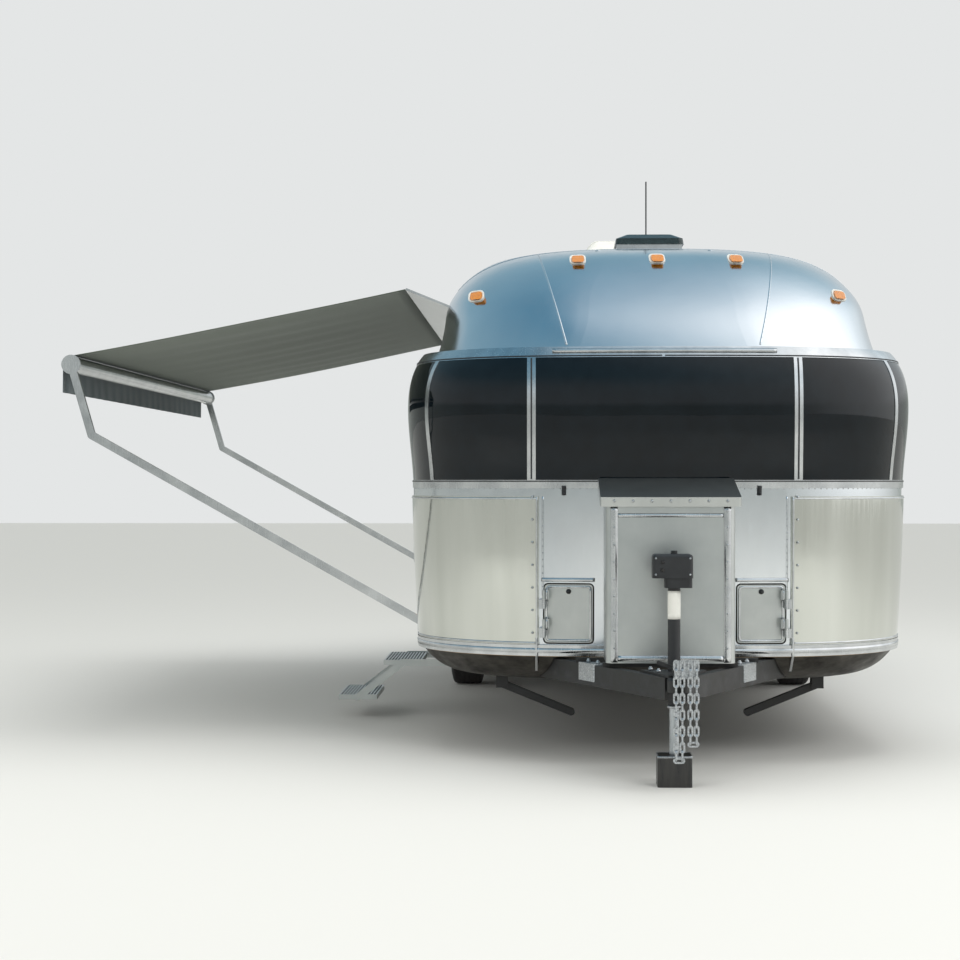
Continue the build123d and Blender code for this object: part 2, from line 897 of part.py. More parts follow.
with BuildPart() as door_glass:
    add(door_pane)
    add(glass_outer, mode=Mode.INTERSECT)
    add(glass_inner, mode=Mode.SUBTRACT)
door_glass.part.label = "door_glass"
export_step(door_glass.part, "parts/door_glass.step")

# Stone guards round the front corners
guard_hull = hull(-guard_proud)
with BuildPart() as stone_guards:
    add(guard_hull)
    add(outer_hull, mode=Mode.SUBTRACT)
    keep(far, (0, band_rear), (guard_bottom, guard_top))
    cut((-guard_edge, guard_edge), (0, band_rear), whole)
stone_guards.part.label = "stone_guards"
export_step(stone_guards.part, "parts/stone_guards.step")

# Rub rail along the floor line and the trims of the wheel arches
with BuildPart() as lower_trim:
    add(hull(-rub_proud))
    keep(far, (0, rear_face + 100), (rub_bottom, rub_top))
    with BuildPart(mode=Mode.PRIVATE) as arch_trim:
        add(arch_prism(arch_trim_wide, arch_trim_inside, span))
        add(guard_hull, mode=Mode.INTERSECT)
        cut(far, (0, rear_face), (0, rub_bottom))
    add(arch_trim.part)
    add(outer_hull, mode=Mode.SUBTRACT)
    add(wells, mode=Mode.SUBTRACT)
lower_trim.part.label = "lower_trim"
export_step(lower_trim.part, "parts/lower_trim.step")

# Front hatches, hinged at their outer edges
for side, name in ((road, "front_hatch_road"), (kerb, "front_hatch_kerb")):
    with BuildPart() as hatch:
        add(shell.part)
        add(end_prism(side * hatch_centre, hatch_wide, hatch_low, hatch_high, hatch_corner,
                      front_face - past, front_face + end_depth), mode=Mode.INTERSECT)
        with Locations((side * hatch_line_x, hatch_line_y, level((hatch_low + hatch_high) / 2))):
            Cylinder(hatch_wide + hatch_hinge_off, hatch_high - hatch_low, mode=Mode.INTERSECT)
        for height in hatch_hinge_heights:
            add(hinge_half((side * hatch_line_x, hatch_line_y),
                           (side * (hatch_line_x - hatch_leaf), hatch_line_y + hinge_depth),
                           height + upper_half, pin_bore))
    hatch.part.label = name
    export_step(hatch.part, "parts/" + name + ".step")

# Fixed halves of the hinges, with their pins
with BuildPart() as panel_hinges:
    for height in door_hinge_heights:
        add(hinge_half(door_line, (hinge_depth - hinge_x, door_hinge + hinge_leaf),
                       height - hinge_knuckle / 2))
        with Locations((door_line[0], door_line[1], level(height))):
            Cylinder(hinge_pin, 2 * hinge_knuckle)
    for side in (road, kerb):
        for height in hatch_hinge_heights:
            add(hinge_half((side * hatch_line_x, hatch_line_y),
                           (side * (hatch_line_x + hatch_leaf), hatch_line_y + hinge_depth),
                           height - hinge_knuckle / 2))
            with Locations((side * hatch_line_x, hatch_line_y, level(height))):
                Cylinder(hinge_pin, 2 * hinge_knuckle)
panel_hinges.part.label = "panel_hinges"
export_step(panel_hinges.part, "parts/panel_hinges.step")

# Axles: tube, trailing arms, spindles and brake drums
with BuildPart() as axles:
    for place in axle_places:
        tube_height = pan_table[-1][0] - seat_gap - axle_tube / 2
        with Locations((0, place - arm_reach, level(tube_height))):
            Box(2 * arm_inside, axle_tube, axle_tube)
        for side in (road, kerb):
            with BuildSketch(Plane.YZ.offset(side * arm_inside)):
                link((place - arm_reach, level(tube_height)), (place, level(tyre_radius)), axle_arm_high)
            extrude(amount=side * arm_thick)
            with BuildSketch(Plane.YZ.offset(side * arm_inside)):
                with Locations((place, level(tyre_radius))):
                    Circle(spindle_radius)
            extrude(amount=side * (track_half - arm_inside + spindle_past))
axles.part.label = "axles"
export_step(axles.part, "parts/axles.step")

# Wheels: tyre and rim
wheel_names = [(side, place, name) for side, name in ((road, "road"), (kerb, "kerb"))
               for place in (0, 1)]
for side, place, name in wheel_names:
    spot = "front" if place == 0 else "rear"
    centre = Plane(origin=(side * track_half, axle_places[place], level(tyre_radius)),
                   x_dir=(0, 1, 0), z_dir=(side, 0, 0))
    section = Plane(centre.origin, x_dir=(side, 0, 0), z_dir=(0, -side, 0))
    half = tyre_width / 2
    bead = tyre_bead / 2
    with BuildPart() as tyre:
        with BuildSketch(section):
            with BuildLine():
                FilletPolyline((-bead, rim_radius), (-half, rim_radius + sidewall_high),
                               (shoulder_in - half, tyre_radius - shoulder_down),
                               (tread_in - half, tyre_radius), (half - tread_in, tyre_radius),
                               (half - shoulder_in, tyre_radius - shoulder_down),
                               (half, rim_radius + sidewall_high), (bead, rim_radius), radius=tyre_round)
                Line((bead, rim_radius), (-bead, rim_radius))
            make_face()
        revolve(axis=Axis(centre.origin, (side, 0, 0)))
    tyre.part.label = "tyre_" + spot + "_" + name
    export_step(tyre.part, "parts/tyre_" + spot + "_" + name + ".step")

    bore = spindle_radius + spindle_gap
    with BuildPart() as rim:
        with BuildSketch(section):
            with BuildLine():
                Polyline((-bead, rim_radius), (bead, rim_radius),
                         *[(across, rim_radius - depth) for across, depth in rim_outer],
                         (hub_face, 0), (hub_face - hub_cap_thick, 0), (hub_face - hub_cap_thick, bore),
                         (hub_back, bore), (hub_back, hub_back_radius),
                         *[(across, rim_radius - depth) for across, depth in rim_inner], close=True)
            make_face()
        revolve(axis=Axis(centre.origin, (side, 0, 0)))
        with Locations(centre):
            with PolarLocations(rim_hole_circle, rim_holes):
                Cylinder(rim_hole_radius, tyre_width, mode=Mode.SUBTRACT)
    rim.part.label = "rim_" + spot + "_" + name
    export_step(rim.part, "parts/rim_" + spot + "_" + name + ".step")

# Coupler: a head with the ball socket, a latch with its lever and a plate over the drawbar's nose
with BuildPart() as coupler:
    with BuildSketch(Plane.XY.offset(-coupler_low)):
        Circle(coupler_head_radius)
        with Locations((0, coupler_length / 4)):
            Rectangle(2 * coupler_head_radius, coupler_length / 2)
    extrude(amount=coupler_low + coupler_high)
    fillet(coupler.edges().group_by(Axis.Z)[-1], coupler_round)
    with Locations((0, 0, socket_length / 2 - coupler_low)):
        Cylinder(ball_radius + socket_gap, socket_length, mode=Mode.SUBTRACT)
    add(drawbar(seat_gap), mode=Mode.SUBTRACT)
    with BuildSketch(Plane.XY.offset(level(rail_low + rail_high + seat_gap))):
        with BuildLine():
            Polyline((-plate_nose, plate_nose), (plate_nose, plate_nose), (plate_tail, plate_rear),
                     (-plate_tail, plate_rear), close=True)
        make_face()
        with Locations((0, jack_place)):
            Circle(jack_tube_radius + seat_gap, mode=Mode.SUBTRACT)
    extrude(amount=coupler_plate)
    with Locations((0, latch_long / 2, coupler_high + latch_high / 2)):
        Box(latch_wide, latch_long, latch_high)
    with BuildSketch(Plane.XZ.offset(-latch_long / 2)):
        link((0, coupler_high + latch_high), (latch_arm_across, coupler_high + latch_high + latch_arm / 4),
             latch_high / 2)
    extrude(amount=latch_wide / 4, both=True)
coupler.part.label = "coupler"
export_step(coupler.part, "parts/coupler.step")

# Safety chains: flat-sided links, each one turned from the last, in two loops that hang from pegs
link_pitch = link_inner - link_gap
strand = link_inner / 2 - link_bar / 2 - link_gap


def chain_link(across, height, upright, turned):
    """One link: along Z if upright, its flat facing Y, or facing X if turned."""
    plane = Plane(origin=(across, -chain_ahead, level(height)), x_dir=(0, 0, 1) if upright else (1, 0, 0),
                  z_dir=(1, 0, 0) if turned else (0, -1, 0))
    with BuildPart() as one:
        with BuildSketch(plane):
            SlotOverall(link_inner + 2 * link_bar, link_slot + 2 * link_bar)
            SlotOverall(link_inner, link_slot, mode=Mode.SUBTRACT)
        extrude(amount=link_bar / 2, both=True)
    return one.part


with BuildPart() as safety_chains:
    for across, count in chain_loops:
        top = chain_peg - link_inner / 2 + peg_radius + link_gap
        for side in (-1, 1):
            for place in range(count):
                add(chain_link(across + side * strand, top - place * link_pitch, True, place % 2 == 1))
        bottom = top - (count - 1) * link_pitch - link_inner / 2 - link_bar / 2
        add(chain_link(across, bottom, False, False))
    first, last = chain_loops[0][0] - strand, chain_loops[-1][0] + strand
    bar_back = chain_ahead - link_slot / 2 - link_bar - link_gap
    with Locations(((first + last) / 2, -bar_back + peg_bar_thick / 2,
                    level((peg_bar_low + seat_gap + chain_peg) / 2) + link_bar / 2)):
        Box(last - first + 2 * link_bar, peg_bar_thick, chain_peg - peg_bar_low - seat_gap + link_bar)
    with Locations(((first + last) / 2, chain_foot / 2 - bar_back,
                    level(peg_bar_low + seat_gap + peg_bar_thick / 2))):
        Box(last - first + 2 * link_bar, chain_foot, peg_bar_thick)
    for across, count in chain_loops:
        for side in (-1, 1):
            peg_end = chain_ahead + link_bar
            with Locations((across + side * strand, -(peg_end + bar_back) / 2, level(chain_peg))):
                Cylinder(peg_radius, peg_end - bar_back, rotation=(90, 0, 0))
safety_chains.part.label = "safety_chains"
export_step(safety_chains.part, "parts/safety_chains.step")

# Nose jack: a fixed post with its gear head and motor, and the ram with the foot
with BuildPart() as jack_post:
    with Locations((0, jack_place, level((jack_top + jack_bottom) / 2))):
        Cylinder(jack_tube_radius, jack_top - jack_bottom)
        Cylinder(jack_ram_radius + jack_bore_gap, jack_top - jack_bottom, mode=Mode.SUBTRACT)
    with BuildSketch(Plane.XY.offset(level(jack_top - jack_neck_high / 4))):
        with Locations((jack_neck_across, jack_place)):
            RectangleRounded(jack_neck_wide, jack_head_deep - jack_head_round, jack_head_round)
    extrude(amount=jack_neck_high)
    with BuildSketch(Plane.XY.offset(level(jack_top + jack_neck_high * 3 / 4))):
        with Locations((jack_head_across, jack_place)):
            RectangleRounded(jack_head_wide, jack_head_deep, jack_head_round)
    extrude(amount=jack_head_high)
    fillet(jack_post.edges().group_by(Axis.Z)[-1], jack_head_round)
    with BuildSketch(Plane.XY.offset(level(jack_top + jack_neck_high * 3 / 4 + jack_head_high))):
        with Locations((0, jack_place)):
            Circle(jack_crank_radius)
    extrude(amount=jack_crank_radius)
    with BuildSketch(Plane.XZ.offset(-jack_place - jack_head_deep / 2)):
        with Locations((jack_neck_across, level(jack_top + jack_neck_high + jack_head_high / 3))):
            Circle(jack_motor_radius)
    extrude(amount=-jack_motor_radius)
jack_post.part.label = "jack_post"
export_step(jack_post.part, "parts/jack_post.step")

with BuildPart() as jack_ram:
    with Locations((0, jack_place, level(jack_foot_high + jack_ram_length / 2))):
        Cylinder(jack_ram_radius, jack_ram_length)
    with BuildSketch(Plane.XY.offset(level(0))) as jack_foot:
        with Locations((0, jack_place)):
            Rectangle(jack_foot_wide, jack_foot_wide)
        chamfer(jack_foot.vertices(), jack_foot_chamfer)
    extrude(amount=jack_foot_high)
jack_ram.part.label = "jack_ram"
export_step(jack_ram.part, "parts/jack_ram.step")

# Gas box, its lid and the bottles
with BuildPart() as gas_box:
    with BuildSketch(Plane.XY.offset(level(box_bottom))):
        with Locations((0, box_front + box_depth / 2)):
            RectangleRounded(box_wide, box_depth, box_corner)
            RectangleRounded(box_wide - 2 * box_sheet, box_depth - 2 * box_sheet,
                             box_corner - box_sheet, mode=Mode.SUBTRACT)
    extrude(amount=box_top_front + box_rise - box_bottom)
    with BuildSketch(Plane.XY.offset(level(box_bottom))):
        with Locations((0, box_front + box_depth / 2)):
            RectangleRounded(box_wide, box_depth, box_corner)
    extrude(amount=box_sheet)
    with BuildSketch(Plane.YZ.offset(-span)):
        with BuildLine():
            Polyline((box_front - box_depth, level(box_top_front - box_rise)),
                     (box_front + 2 * box_depth, level(box_top_front + 2 * box_rise)),
                     (box_front + 2 * box_depth, level(above_roof)),
                     (box_front - box_depth, level(above_roof)), close=True)
        make_face()
    extrude(amount=2 * span, mode=Mode.SUBTRACT)
gas_box.part.label = "gas_box"
export_step(gas_box.part, "parts/gas_box.step")

lid_slope = degrees(atan2(box_rise, box_depth))
lid_plane = Plane(origin=(0, box_front + box_depth / 2, level(box_top_front + box_rise / 2)),
                  x_dir=(1, 0, 0), z_dir=(0, -sin(radians(lid_slope)), cos(radians(lid_slope))))
lid_wide = box_wide + 2 * lid_lip
lid_long = box_depth / cos(radians(lid_slope)) + lid_over_front + lid_over_rear
lid_shift = (lid_over_rear - lid_over_front) / 2
lid_line_y = lid_plane.origin.Y + (lid_long / 2 + lid_shift) * cos(radians(lid_slope))
lid_line_z = lid_plane.origin.Z + (lid_long / 2 + lid_shift) * sin(radians(lid_slope))
with BuildPart() as gas_box_lid:
    with BuildSketch(lid_plane.offset(lid_gap)):
        with Locations((0, lid_shift)):
            RectangleRounded(lid_wide, lid_long, lid_corner)
    extrude(amount=lid_sheet)
    with BuildSketch(lid_plane.offset(lid_gap)):
        with Locations((0, lid_shift)):
            RectangleRounded(lid_wide, lid_long, lid_corner)
        with Locations((0, lid_shift + lid_sheet)):
            Rectangle(lid_wide - 2 * lid_sheet, lid_long, mode=Mode.SUBTRACT)
    extrude(amount=-lid_skirt)
    with Locations((0, lid_line_y, lid_line_z)):
        Cylinder(lid_barrel, box_wide - 2 * box_corner, rotation=(0, 90, 0))
gas_box_lid.part.label = "gas_box_lid"
export_step(gas_box_lid.part, "parts/gas_box_lid.step")

with BuildPart() as gas_bottles:
    for side in (road, kerb):
        with Locations((side * (bottle_radius + bottle_gap), box_front + box_depth / 2,
                        level(box_bottom + box_sheet + seat_gap + bottle_height / 2))):
            Cylinder(bottle_radius, bottle_height)
    fillet(gas_bottles.edges().group_by(Axis.Z)[-1], bottle_round)
gas_bottles.part.label = "gas_bottles"
export_step(gas_bottles.part, "parts/gas_bottles.step")

# Corner stabilisers, swung part of the way down
for place, spot in zip(stabiliser_places, ("front", "rear")):
    for side, name in ((road, "road"), (kerb, "kerb")):
        droop = radians(stabiliser_droop)
        pivot = (side * stabiliser_pivot_x, level(stabiliser_pivot))
        tip = (side * (stabiliser_pivot_x - stabiliser_arm * cos(droop)),
               level(stabiliser_pivot) - stabiliser_arm * sin(droop))
        with BuildPart() as stabiliser:
            with BuildSketch(Plane.XZ.offset(-place)):
                link(pivot, tip, stabiliser_high)
                with Locations(pivot):
                    Circle(pivot_radius + spindle_gap, mode=Mode.SUBTRACT)
            extrude(amount=stabiliser_wide / 2, both=True)
        stabiliser.part.label = "stabiliser_" + spot + "_" + name
        export_step(stabiliser.part, "parts/stabiliser_" + spot + "_" + name + ".step")

# Rear bumper on the rails' ends
with BuildPart() as rear_bumper:
    with Locations((0, rail_rear + bumper_deep / 2, level(rail_low + bumper_high / 2))):
        Box(2 * bumper_half, bumper_deep, bumper_high)
rear_bumper.part.label = "rear_bumper"
export_step(rear_bumper.part, "parts/rear_bumper.step")

# Amber marker lamps on the dome and red lamps at the rear
with BuildPart() as marker_lamps:
    for across, height in marker_places:
        add(end_prism(across, marker_wide, height - marker_high / 2, height + marker_high / 2, marker_corner,
                      front_face, front_face + 2 * corner_depth))
    add(hull(-marker_proud), mode=Mode.INTERSECT)
    add(outer_hull, mode=Mode.SUBTRACT)
marker_lamps.part.label = "marker_lamps"
export_step(marker_lamps.part, "parts/marker_lamps.step")

with BuildPart() as tail_lamps:
    for side in (road, kerb):
        add(end_prism(side * tail_across, tail_wide, tail_height - tail_radius, tail_height + tail_radius,
                      tail_radius - 1, rear_face - corner_depth, rear_face + past))
    add(hull(-tail_proud), mode=Mode.INTERSECT)
    add(outer_hull, mode=Mode.SUBTRACT)
tail_lamps.part.label = "tail_lamps"
export_step(tail_lamps.part, "parts/tail_lamps.step")

# Roof: air conditioner, vents and aerials
roof = level(hull_table[-1][0])
with BuildPart() as air_conditioner:
    for z, share in ((roof - conditioner_skirt, 1), (roof + conditioner_high / 2, 1),
                     (roof + conditioner_high, conditioner_taper)):
        with BuildSketch(Plane.XY.offset(z)):
            with Locations((0, conditioner_place)):
                RectangleRounded(conditioner_wide * share, conditioner_long * share, conditioner_round)
    loft(ruled=True)
    for side in (road, kerb):
        with Locations((side * conditioner_wide / 2, conditioner_place, roof + conditioner_high / 4)):
            with GridLocations(0, louvre_pitch, 1, louvre_count):
                Box(2 * louvre_deep, louvre_wide, conditioner_high / 3, mode=Mode.SUBTRACT)
    add(outer_hull, mode=Mode.SUBTRACT)
air_conditioner.part.label = "air_conditioner"
export_step(air_conditioner.part, "parts/air_conditioner.step")

with BuildPart() as vent_bases:
    for place in vent_places:
        with Locations((0, place, roof)):
            Box(vent_wide, vent_wide, 2 * vent_base_high)
            Box(vent_wide - 2 * vent_frame, vent_wide - 2 * vent_frame, 2 * vent_base_high,
                mode=Mode.SUBTRACT)
    add(outer_hull, mode=Mode.SUBTRACT)
vent_bases.part.label = "vent_bases"
export_step(vent_bases.part, "parts/vent_bases.step")

for place, name in zip(vent_places, ("front", "rear")):
    with BuildPart() as vent_lid:
        lid_edge = vent_wide + 2 * vent_over
        base = roof + vent_base_high + seat_gap
        for z, size in ((base, lid_edge), (base + vent_lid_high, lid_edge - vent_over),
                        (base + vent_lid_high + vent_crown, lid_edge - 2 * vent_crown_inset)):
            with BuildSketch(Plane.XY.offset(z)):
                with Locations((0, place)):
                    RectangleRounded(size, size, vent_round)
        loft(ruled=True)
        with Locations((0, place + lid_edge / 2 - vent_line_in, base)):
            Cylinder(vent_barrel, vent_wide / 2, rotation=(0, 90, 0))
    vent_lid.part.label = "vent_lid_" + name
    export_step(vent_lid.part, "parts/vent_lid_" + name + ".step")

with BuildPart() as roof_aerials:
    with Locations((0, whip_place, roof + whip_high / 2)):
        Cylinder(whip_radius, whip_high)
    with Locations((0, whip_place, roof + whip_base_high / 2)):
        Cone(whip_base_radius, whip_radius, whip_base_high)
    with Locations((aerial_across, aerial_place, roof)):
        Box(aerial_boom_wide, aerial_boom, 2 * aerial_low)
        with GridLocations(0, aerial_boom / aerial_rods, 1, aerial_rods):
            Cylinder(aerial_rod_radius, aerial_rod_long, rotation=(0, 90, 0))
    add(outer_hull, mode=Mode.SUBTRACT)
roof_aerials.part.label = "roof_aerials"
export_step(roof_aerials.part, "parts/roof_aerials.step")

# Awning: rail and slat cover, fabric, roller and arms
with BuildPart() as awning_rail:
    with BuildSketch(Plane.XZ.offset(-awning_front)):
        foot = (wall / 2 - skin_half(awning_rail_height), level(awning_rail_height))
        link(foot, (-apex_out, level(apex_height)), slat_thick)
    extrude(amount=-awning_length)
    add(outer_hull, mode=Mode.SUBTRACT)
awning_rail.part.label = "awning_rail"
export_step(awning_rail.part, "parts/awning_rail.step")

fabric_fall = atan2(apex_height - roller_height - roller_radius, roller_out - apex_out)
fabric_seat = (roller_radius + fabric_thick / 2 + seat_gap) / cos(fabric_fall)
with BuildPart() as awning_fabric:
    with BuildSketch(Plane.XZ.offset(-awning_front)):
        link((-apex_out - (slat_thick + fabric_thick) / 2 - seat_gap, level(apex_height)),
             (-roller_out, level(roller_height) + fabric_seat), fabric_thick)
    extrude(amount=-awning_length)
    with Locations((-roller_out - roller_radius - seat_gap - fabric_thick / 2,
                    awning_front + awning_length / 2, level(roller_height) - valance_drop / 2)):
        Box(fabric_thick, awning_length, valance_drop)
awning_fabric.part.label = "awning_fabric"
export_step(awning_fabric.part, "parts/awning_fabric.step")

with BuildPart() as awning_roller:
    with BuildSketch(Plane.XZ.offset(-awning_front)):
        with Locations((-roller_out, level(roller_height))):
            Circle(roller_radius)
    extrude(amount=-awning_length)
awning_roller.part.label = "awning_roller"
export_step(awning_roller.part, "parts/awning_roller.step")

arm_skin = skin_half(arm_base_height)
with BuildPart() as awning_arms:
    for place in (awning_front - arm_deep / 2 - seat_gap,
                  awning_front + awning_length + arm_deep / 2 + seat_gap):
        with BuildSketch(Plane.XZ.offset(-place)):
            link((-arm_skin, level(arm_base_height)), (-arm_bend_out, level(arm_bend_height)),
                 arm_wide)
            link((-arm_bend_out, level(arm_bend_height)), (-roller_out, level(roller_height)), arm_wide)
        extrude(amount=arm_deep / 2, both=True)
        with BuildSketch(Plane.XZ.offset(-place)):
            with Locations((-roller_out, level(roller_height))):
                Circle(roller_cap_radius)
        extrude(amount=arm_deep / 2, both=True)
        with Locations((-arm_skin, place, level(arm_base_height + arm_foot_high / 2 - arm_wide))):
            Box(4 * arm_wide / 3, arm_deep, arm_foot_high)
    add(hull(-guard_proud - seat_gap), mode=Mode.SUBTRACT)
awning_arms.part.label = "awning_arms"
export_step(awning_arms.part, "parts/awning_arms.step")

# Entry step, pulled out: two treads between side plates that slide in runners
with BuildPart() as entry_step:
    for out, height in ((step_upper_out, step_upper), (step_lower_out, step_lower)):
        with Locations((-out, step_place, level(height))):
            Box(step_tread, step_wide, step_thick)
    for edge in (-step_wide / 2, step_wide / 2):
        with BuildSketch(Plane.XZ.offset(-step_place - edge)):
            link((-step_inner, level(step_upper)), (-step_upper_out, level(step_upper)), step_side_high)
            link((-step_upper_out, level(step_upper)), (-step_lower_out, level(step_lower)), step_side_high)
        extrude(amount=step_side_thick / 2, both=True)
entry_step.part.label = "entry_step"
export_step(entry_step.part, "parts/entry_step.step")
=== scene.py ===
import json
import math

import bmesh
import bpy
import numpy as np
from bpy.props import FloatProperty, FloatVectorProperty, PointerProperty
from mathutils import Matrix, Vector
from mathutils.bvhtree import BVHTree


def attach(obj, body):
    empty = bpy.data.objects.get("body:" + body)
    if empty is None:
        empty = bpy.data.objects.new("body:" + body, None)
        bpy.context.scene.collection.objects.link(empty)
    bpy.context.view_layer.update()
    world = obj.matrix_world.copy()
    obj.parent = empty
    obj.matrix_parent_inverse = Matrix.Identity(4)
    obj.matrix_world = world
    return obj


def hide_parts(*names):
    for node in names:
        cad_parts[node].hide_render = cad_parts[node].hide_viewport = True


# Finish and fittings of a polished travel caravan. Metres, in the frame of its solids:
# the origin is the ball socket of the coupler, +X the road side, +Y the rear, +Z up.

bl_info = {
    "name": "Travel Caravan Finish",
    "version": (1, 0, 0),
    "blender": (4, 5, 0),
    "location": "View3D > Sidebar > Caravan",
    "description": "Dresses the solids of a polished travel caravan with skins, seams, cloth and fittings",
    "category": "Object",
}

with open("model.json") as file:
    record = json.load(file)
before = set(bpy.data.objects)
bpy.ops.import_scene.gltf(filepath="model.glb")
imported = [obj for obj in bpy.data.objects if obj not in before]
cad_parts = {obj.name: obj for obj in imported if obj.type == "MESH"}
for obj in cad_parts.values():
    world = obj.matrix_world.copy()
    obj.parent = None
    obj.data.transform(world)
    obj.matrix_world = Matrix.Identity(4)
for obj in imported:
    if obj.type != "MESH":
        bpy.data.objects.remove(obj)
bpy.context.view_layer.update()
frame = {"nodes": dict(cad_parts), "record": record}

# above the ground: the coupler's ball, and the belt below the windows
BALL_HEIGHT, BELT_HEIGHT = 0.470, 1.365
# the body's plan: half width, front, rear and radius of its corners
PLAN = (1.262, 1.0, 8.66, 0.79)
# along the body: ends of the window band's and the guards' beads, and joints of the two rounded ends
BAND_END, FRONT_JOINT, REAR_JOINT = 2.14, 2.25, 7.45
# across the body: inner edges of the stone guards, and middles of the front hatches
GUARD_EDGE, HATCH_MIDDLE = 0.622, 0.467
# along the body: middle of the entry door, and the jack's post
DOOR_MIDDLE, JACK_PLACE = 3.319, 0.300
# rays that lay things on the solids: where they start, clear of the body, and how they head
BESIDE, BEHIND, ABOVE = 2.0, 10.0, 4.0
TO_REAR, TO_FRONT, DOWN = (0.0, 1.0, 0.0), (0.0, -1.0, 0.0), (0.0, 0.0, -1.0)
# laps: how far their path lies off the skin, and their top; shortest seam and row of rivets that is made
LAP_LIFT, LAP_TOP, SHORTEST_SEAM, SHORTEST_ROW = 0.0006, 0.0013, 0.08, 0.15
# rivets: height of a head, and distance of the last one from a seam's end
RIVET_RISE, RIVET_MARGIN = 0.0018, 0.012

SKIN = ("front_lower_panel", "front_dome", "side_wall_road", "side_wall_kerb", "roof_panel", "rear_cap")
# what hides the skin, so that no seam runs there
COVERS = ("front_window_frame", "front_window_glass", "window_frames", "window_glass", "door_glass",
          "stone_guards", "lower_trim", "marker_lamps", "tail_lamps", "air_conditioner", "vent_bases",
          "vent_lid_front", "vent_lid_rear", "awning_rail", "panel_hinges", "wheel_wells", "roof_aerials")
# side, middle along the body, width, sill and head
SIDE_WINDOWS = (
    (1, 2.640, 0.400, 1.385, 1.965), (1, 3.100, 0.400, 1.385, 1.965), (1, 4.600, 0.760, 1.385, 1.965),
    (1, 6.500, 0.620, 1.480, 1.965), (-1, 4.160, 0.530, 1.385, 1.965), (-1, 4.750, 0.530, 1.385, 1.965),
    (-1, 6.350, 0.620, 1.385, 1.965))
# covers on the side walls: side, along, height of the middle, width, height and corner radius
SERVICE_COVERS = (
    (1, 3.700, 0.960, 0.330, 0.330, 0.018), (1, 2.700, 0.930, 0.170, 0.170, 0.080),
    (1, 4.200, 1.130, 0.150, 0.150, 0.070), (1, 7.000, 0.930, 0.520, 0.300, 0.030),
    (-1, 2.560, 0.900, 0.440, 0.280, 0.030), (-1, 4.200, 1.080, 0.150, 0.120, 0.020),
    (-1, 7.000, 0.930, 0.520, 0.300, 0.030))

FINISH = {}


def z_of(height):
    """Z of a height above the ground."""
    return height - BALL_HEIGHT


# name, centre and the side it faces
WHEELS = tuple((f"{spot}_{side}", (sign * 1.095, along, z_of(0.359)), sign)
               for spot, along in (("front", 5.250), ("rear", 6.100))
               for side, sign in (("road", 1), ("kerb", -1)))


def unit(rows):
    """Rows of vectors, each divided by its own length."""
    return rows / np.maximum(np.linalg.norm(rows, axis=-1, keepdims=True), 1e-12)


def rows_of(x, y, z):
    """Points as rows, from coordinates that are numbers or arrays."""
    return np.stack(np.broadcast_arrays(x, y, z), -1)


def lengths_along(path):
    """Distance of every point of a path from its start."""
    return np.concatenate([[0], np.cumsum(np.linalg.norm(np.diff(path, axis=0), axis=1))])


def spaced(rows, lengths, at):
    """Rows of a path interpolated at distances from its start."""
    return np.stack([np.interp(at, lengths, column) for column in rows.T], -1)


def smoothed(rows, reach=3):
    """Rows averaged with their neighbours, 2 * reach + 1 at a time, their ends held."""
    padded = np.concatenate([np.repeat(rows[:1], reach, 0), rows, np.repeat(rows[-1:], reach, 0)])
    return sum(padded[k:k + len(rows)] for k in range(2 * reach + 1)) / (2 * reach + 1)


def runs_of(mask):
    """Slices of the unbroken runs of True, three or more long."""
    edges = np.flatnonzero(np.diff(np.concatenate([[0], mask.astype(int), [0]])))
    return [slice(a, b) for a, b in zip(edges[::2], edges[1::2]) if b - a > 2]


# Meshes from arrays

def add_piece(name, points, faces, finish, body="caravan", slot=None):
    """Put points and faces into a mesh object with a finish, and let it ride on a body. Its slot argument is
    not used."""
    mesh = bpy.data.meshes.new(name)
    if isinstance(faces, np.ndarray):
        faces = faces.tolist()
    mesh.from_pydata(np.asarray(points, float).reshape(-1, 3).tolist(), [], faces)
    # a pole's points fall together, and are made one; a closed shape gets its faces outwards
    shape = bmesh.new()
    shape.from_mesh(mesh)
    bmesh.ops.remove_doubles(shape, verts=shape.verts, dist=1e-6)
    if all(edge.is_manifold for edge in shape.edges):
        bmesh.ops.recalc_face_normals(shape, faces=shape.faces)
    shape.to_mesh(mesh)
    shape.free()
    mesh.polygons.foreach_set("use_smooth", np.full(len(mesh.polygons), True))
    mesh.update()
    piece = bpy.data.objects.new(name, mesh)
    bpy.context.scene.collection.objects.link(piece)
    mesh.materials.append(FINISH[finish])
    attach(piece, body)
    return piece


def thicken(piece, thickness, offset):
    """Give an open sheet its thickness: on both sides of its mesh at offset 0, behind it at -1."""
    wall = piece.modifiers.new("thickness", "SOLIDIFY")
    wall.thickness, wall.offset = thickness, offset


def grid_faces(rows, columns, round_rows=False, round_columns=False):
    """Quads of a grid: face i, j joins points i, j and i + 1, j + 1, wrapping where it is round."""
    i = np.arange(rows if round_rows else rows - 1)
    j = np.arange(columns if round_columns else columns - 1)
    a, b = np.meshgrid(i, j, indexing="ij")
    c, d = (a + 1) % rows, (b + 1) % columns
    return np.stack([a * columns + b, a * columns + d, c * columns + d, c * columns + b], -1).reshape(-1, 4)


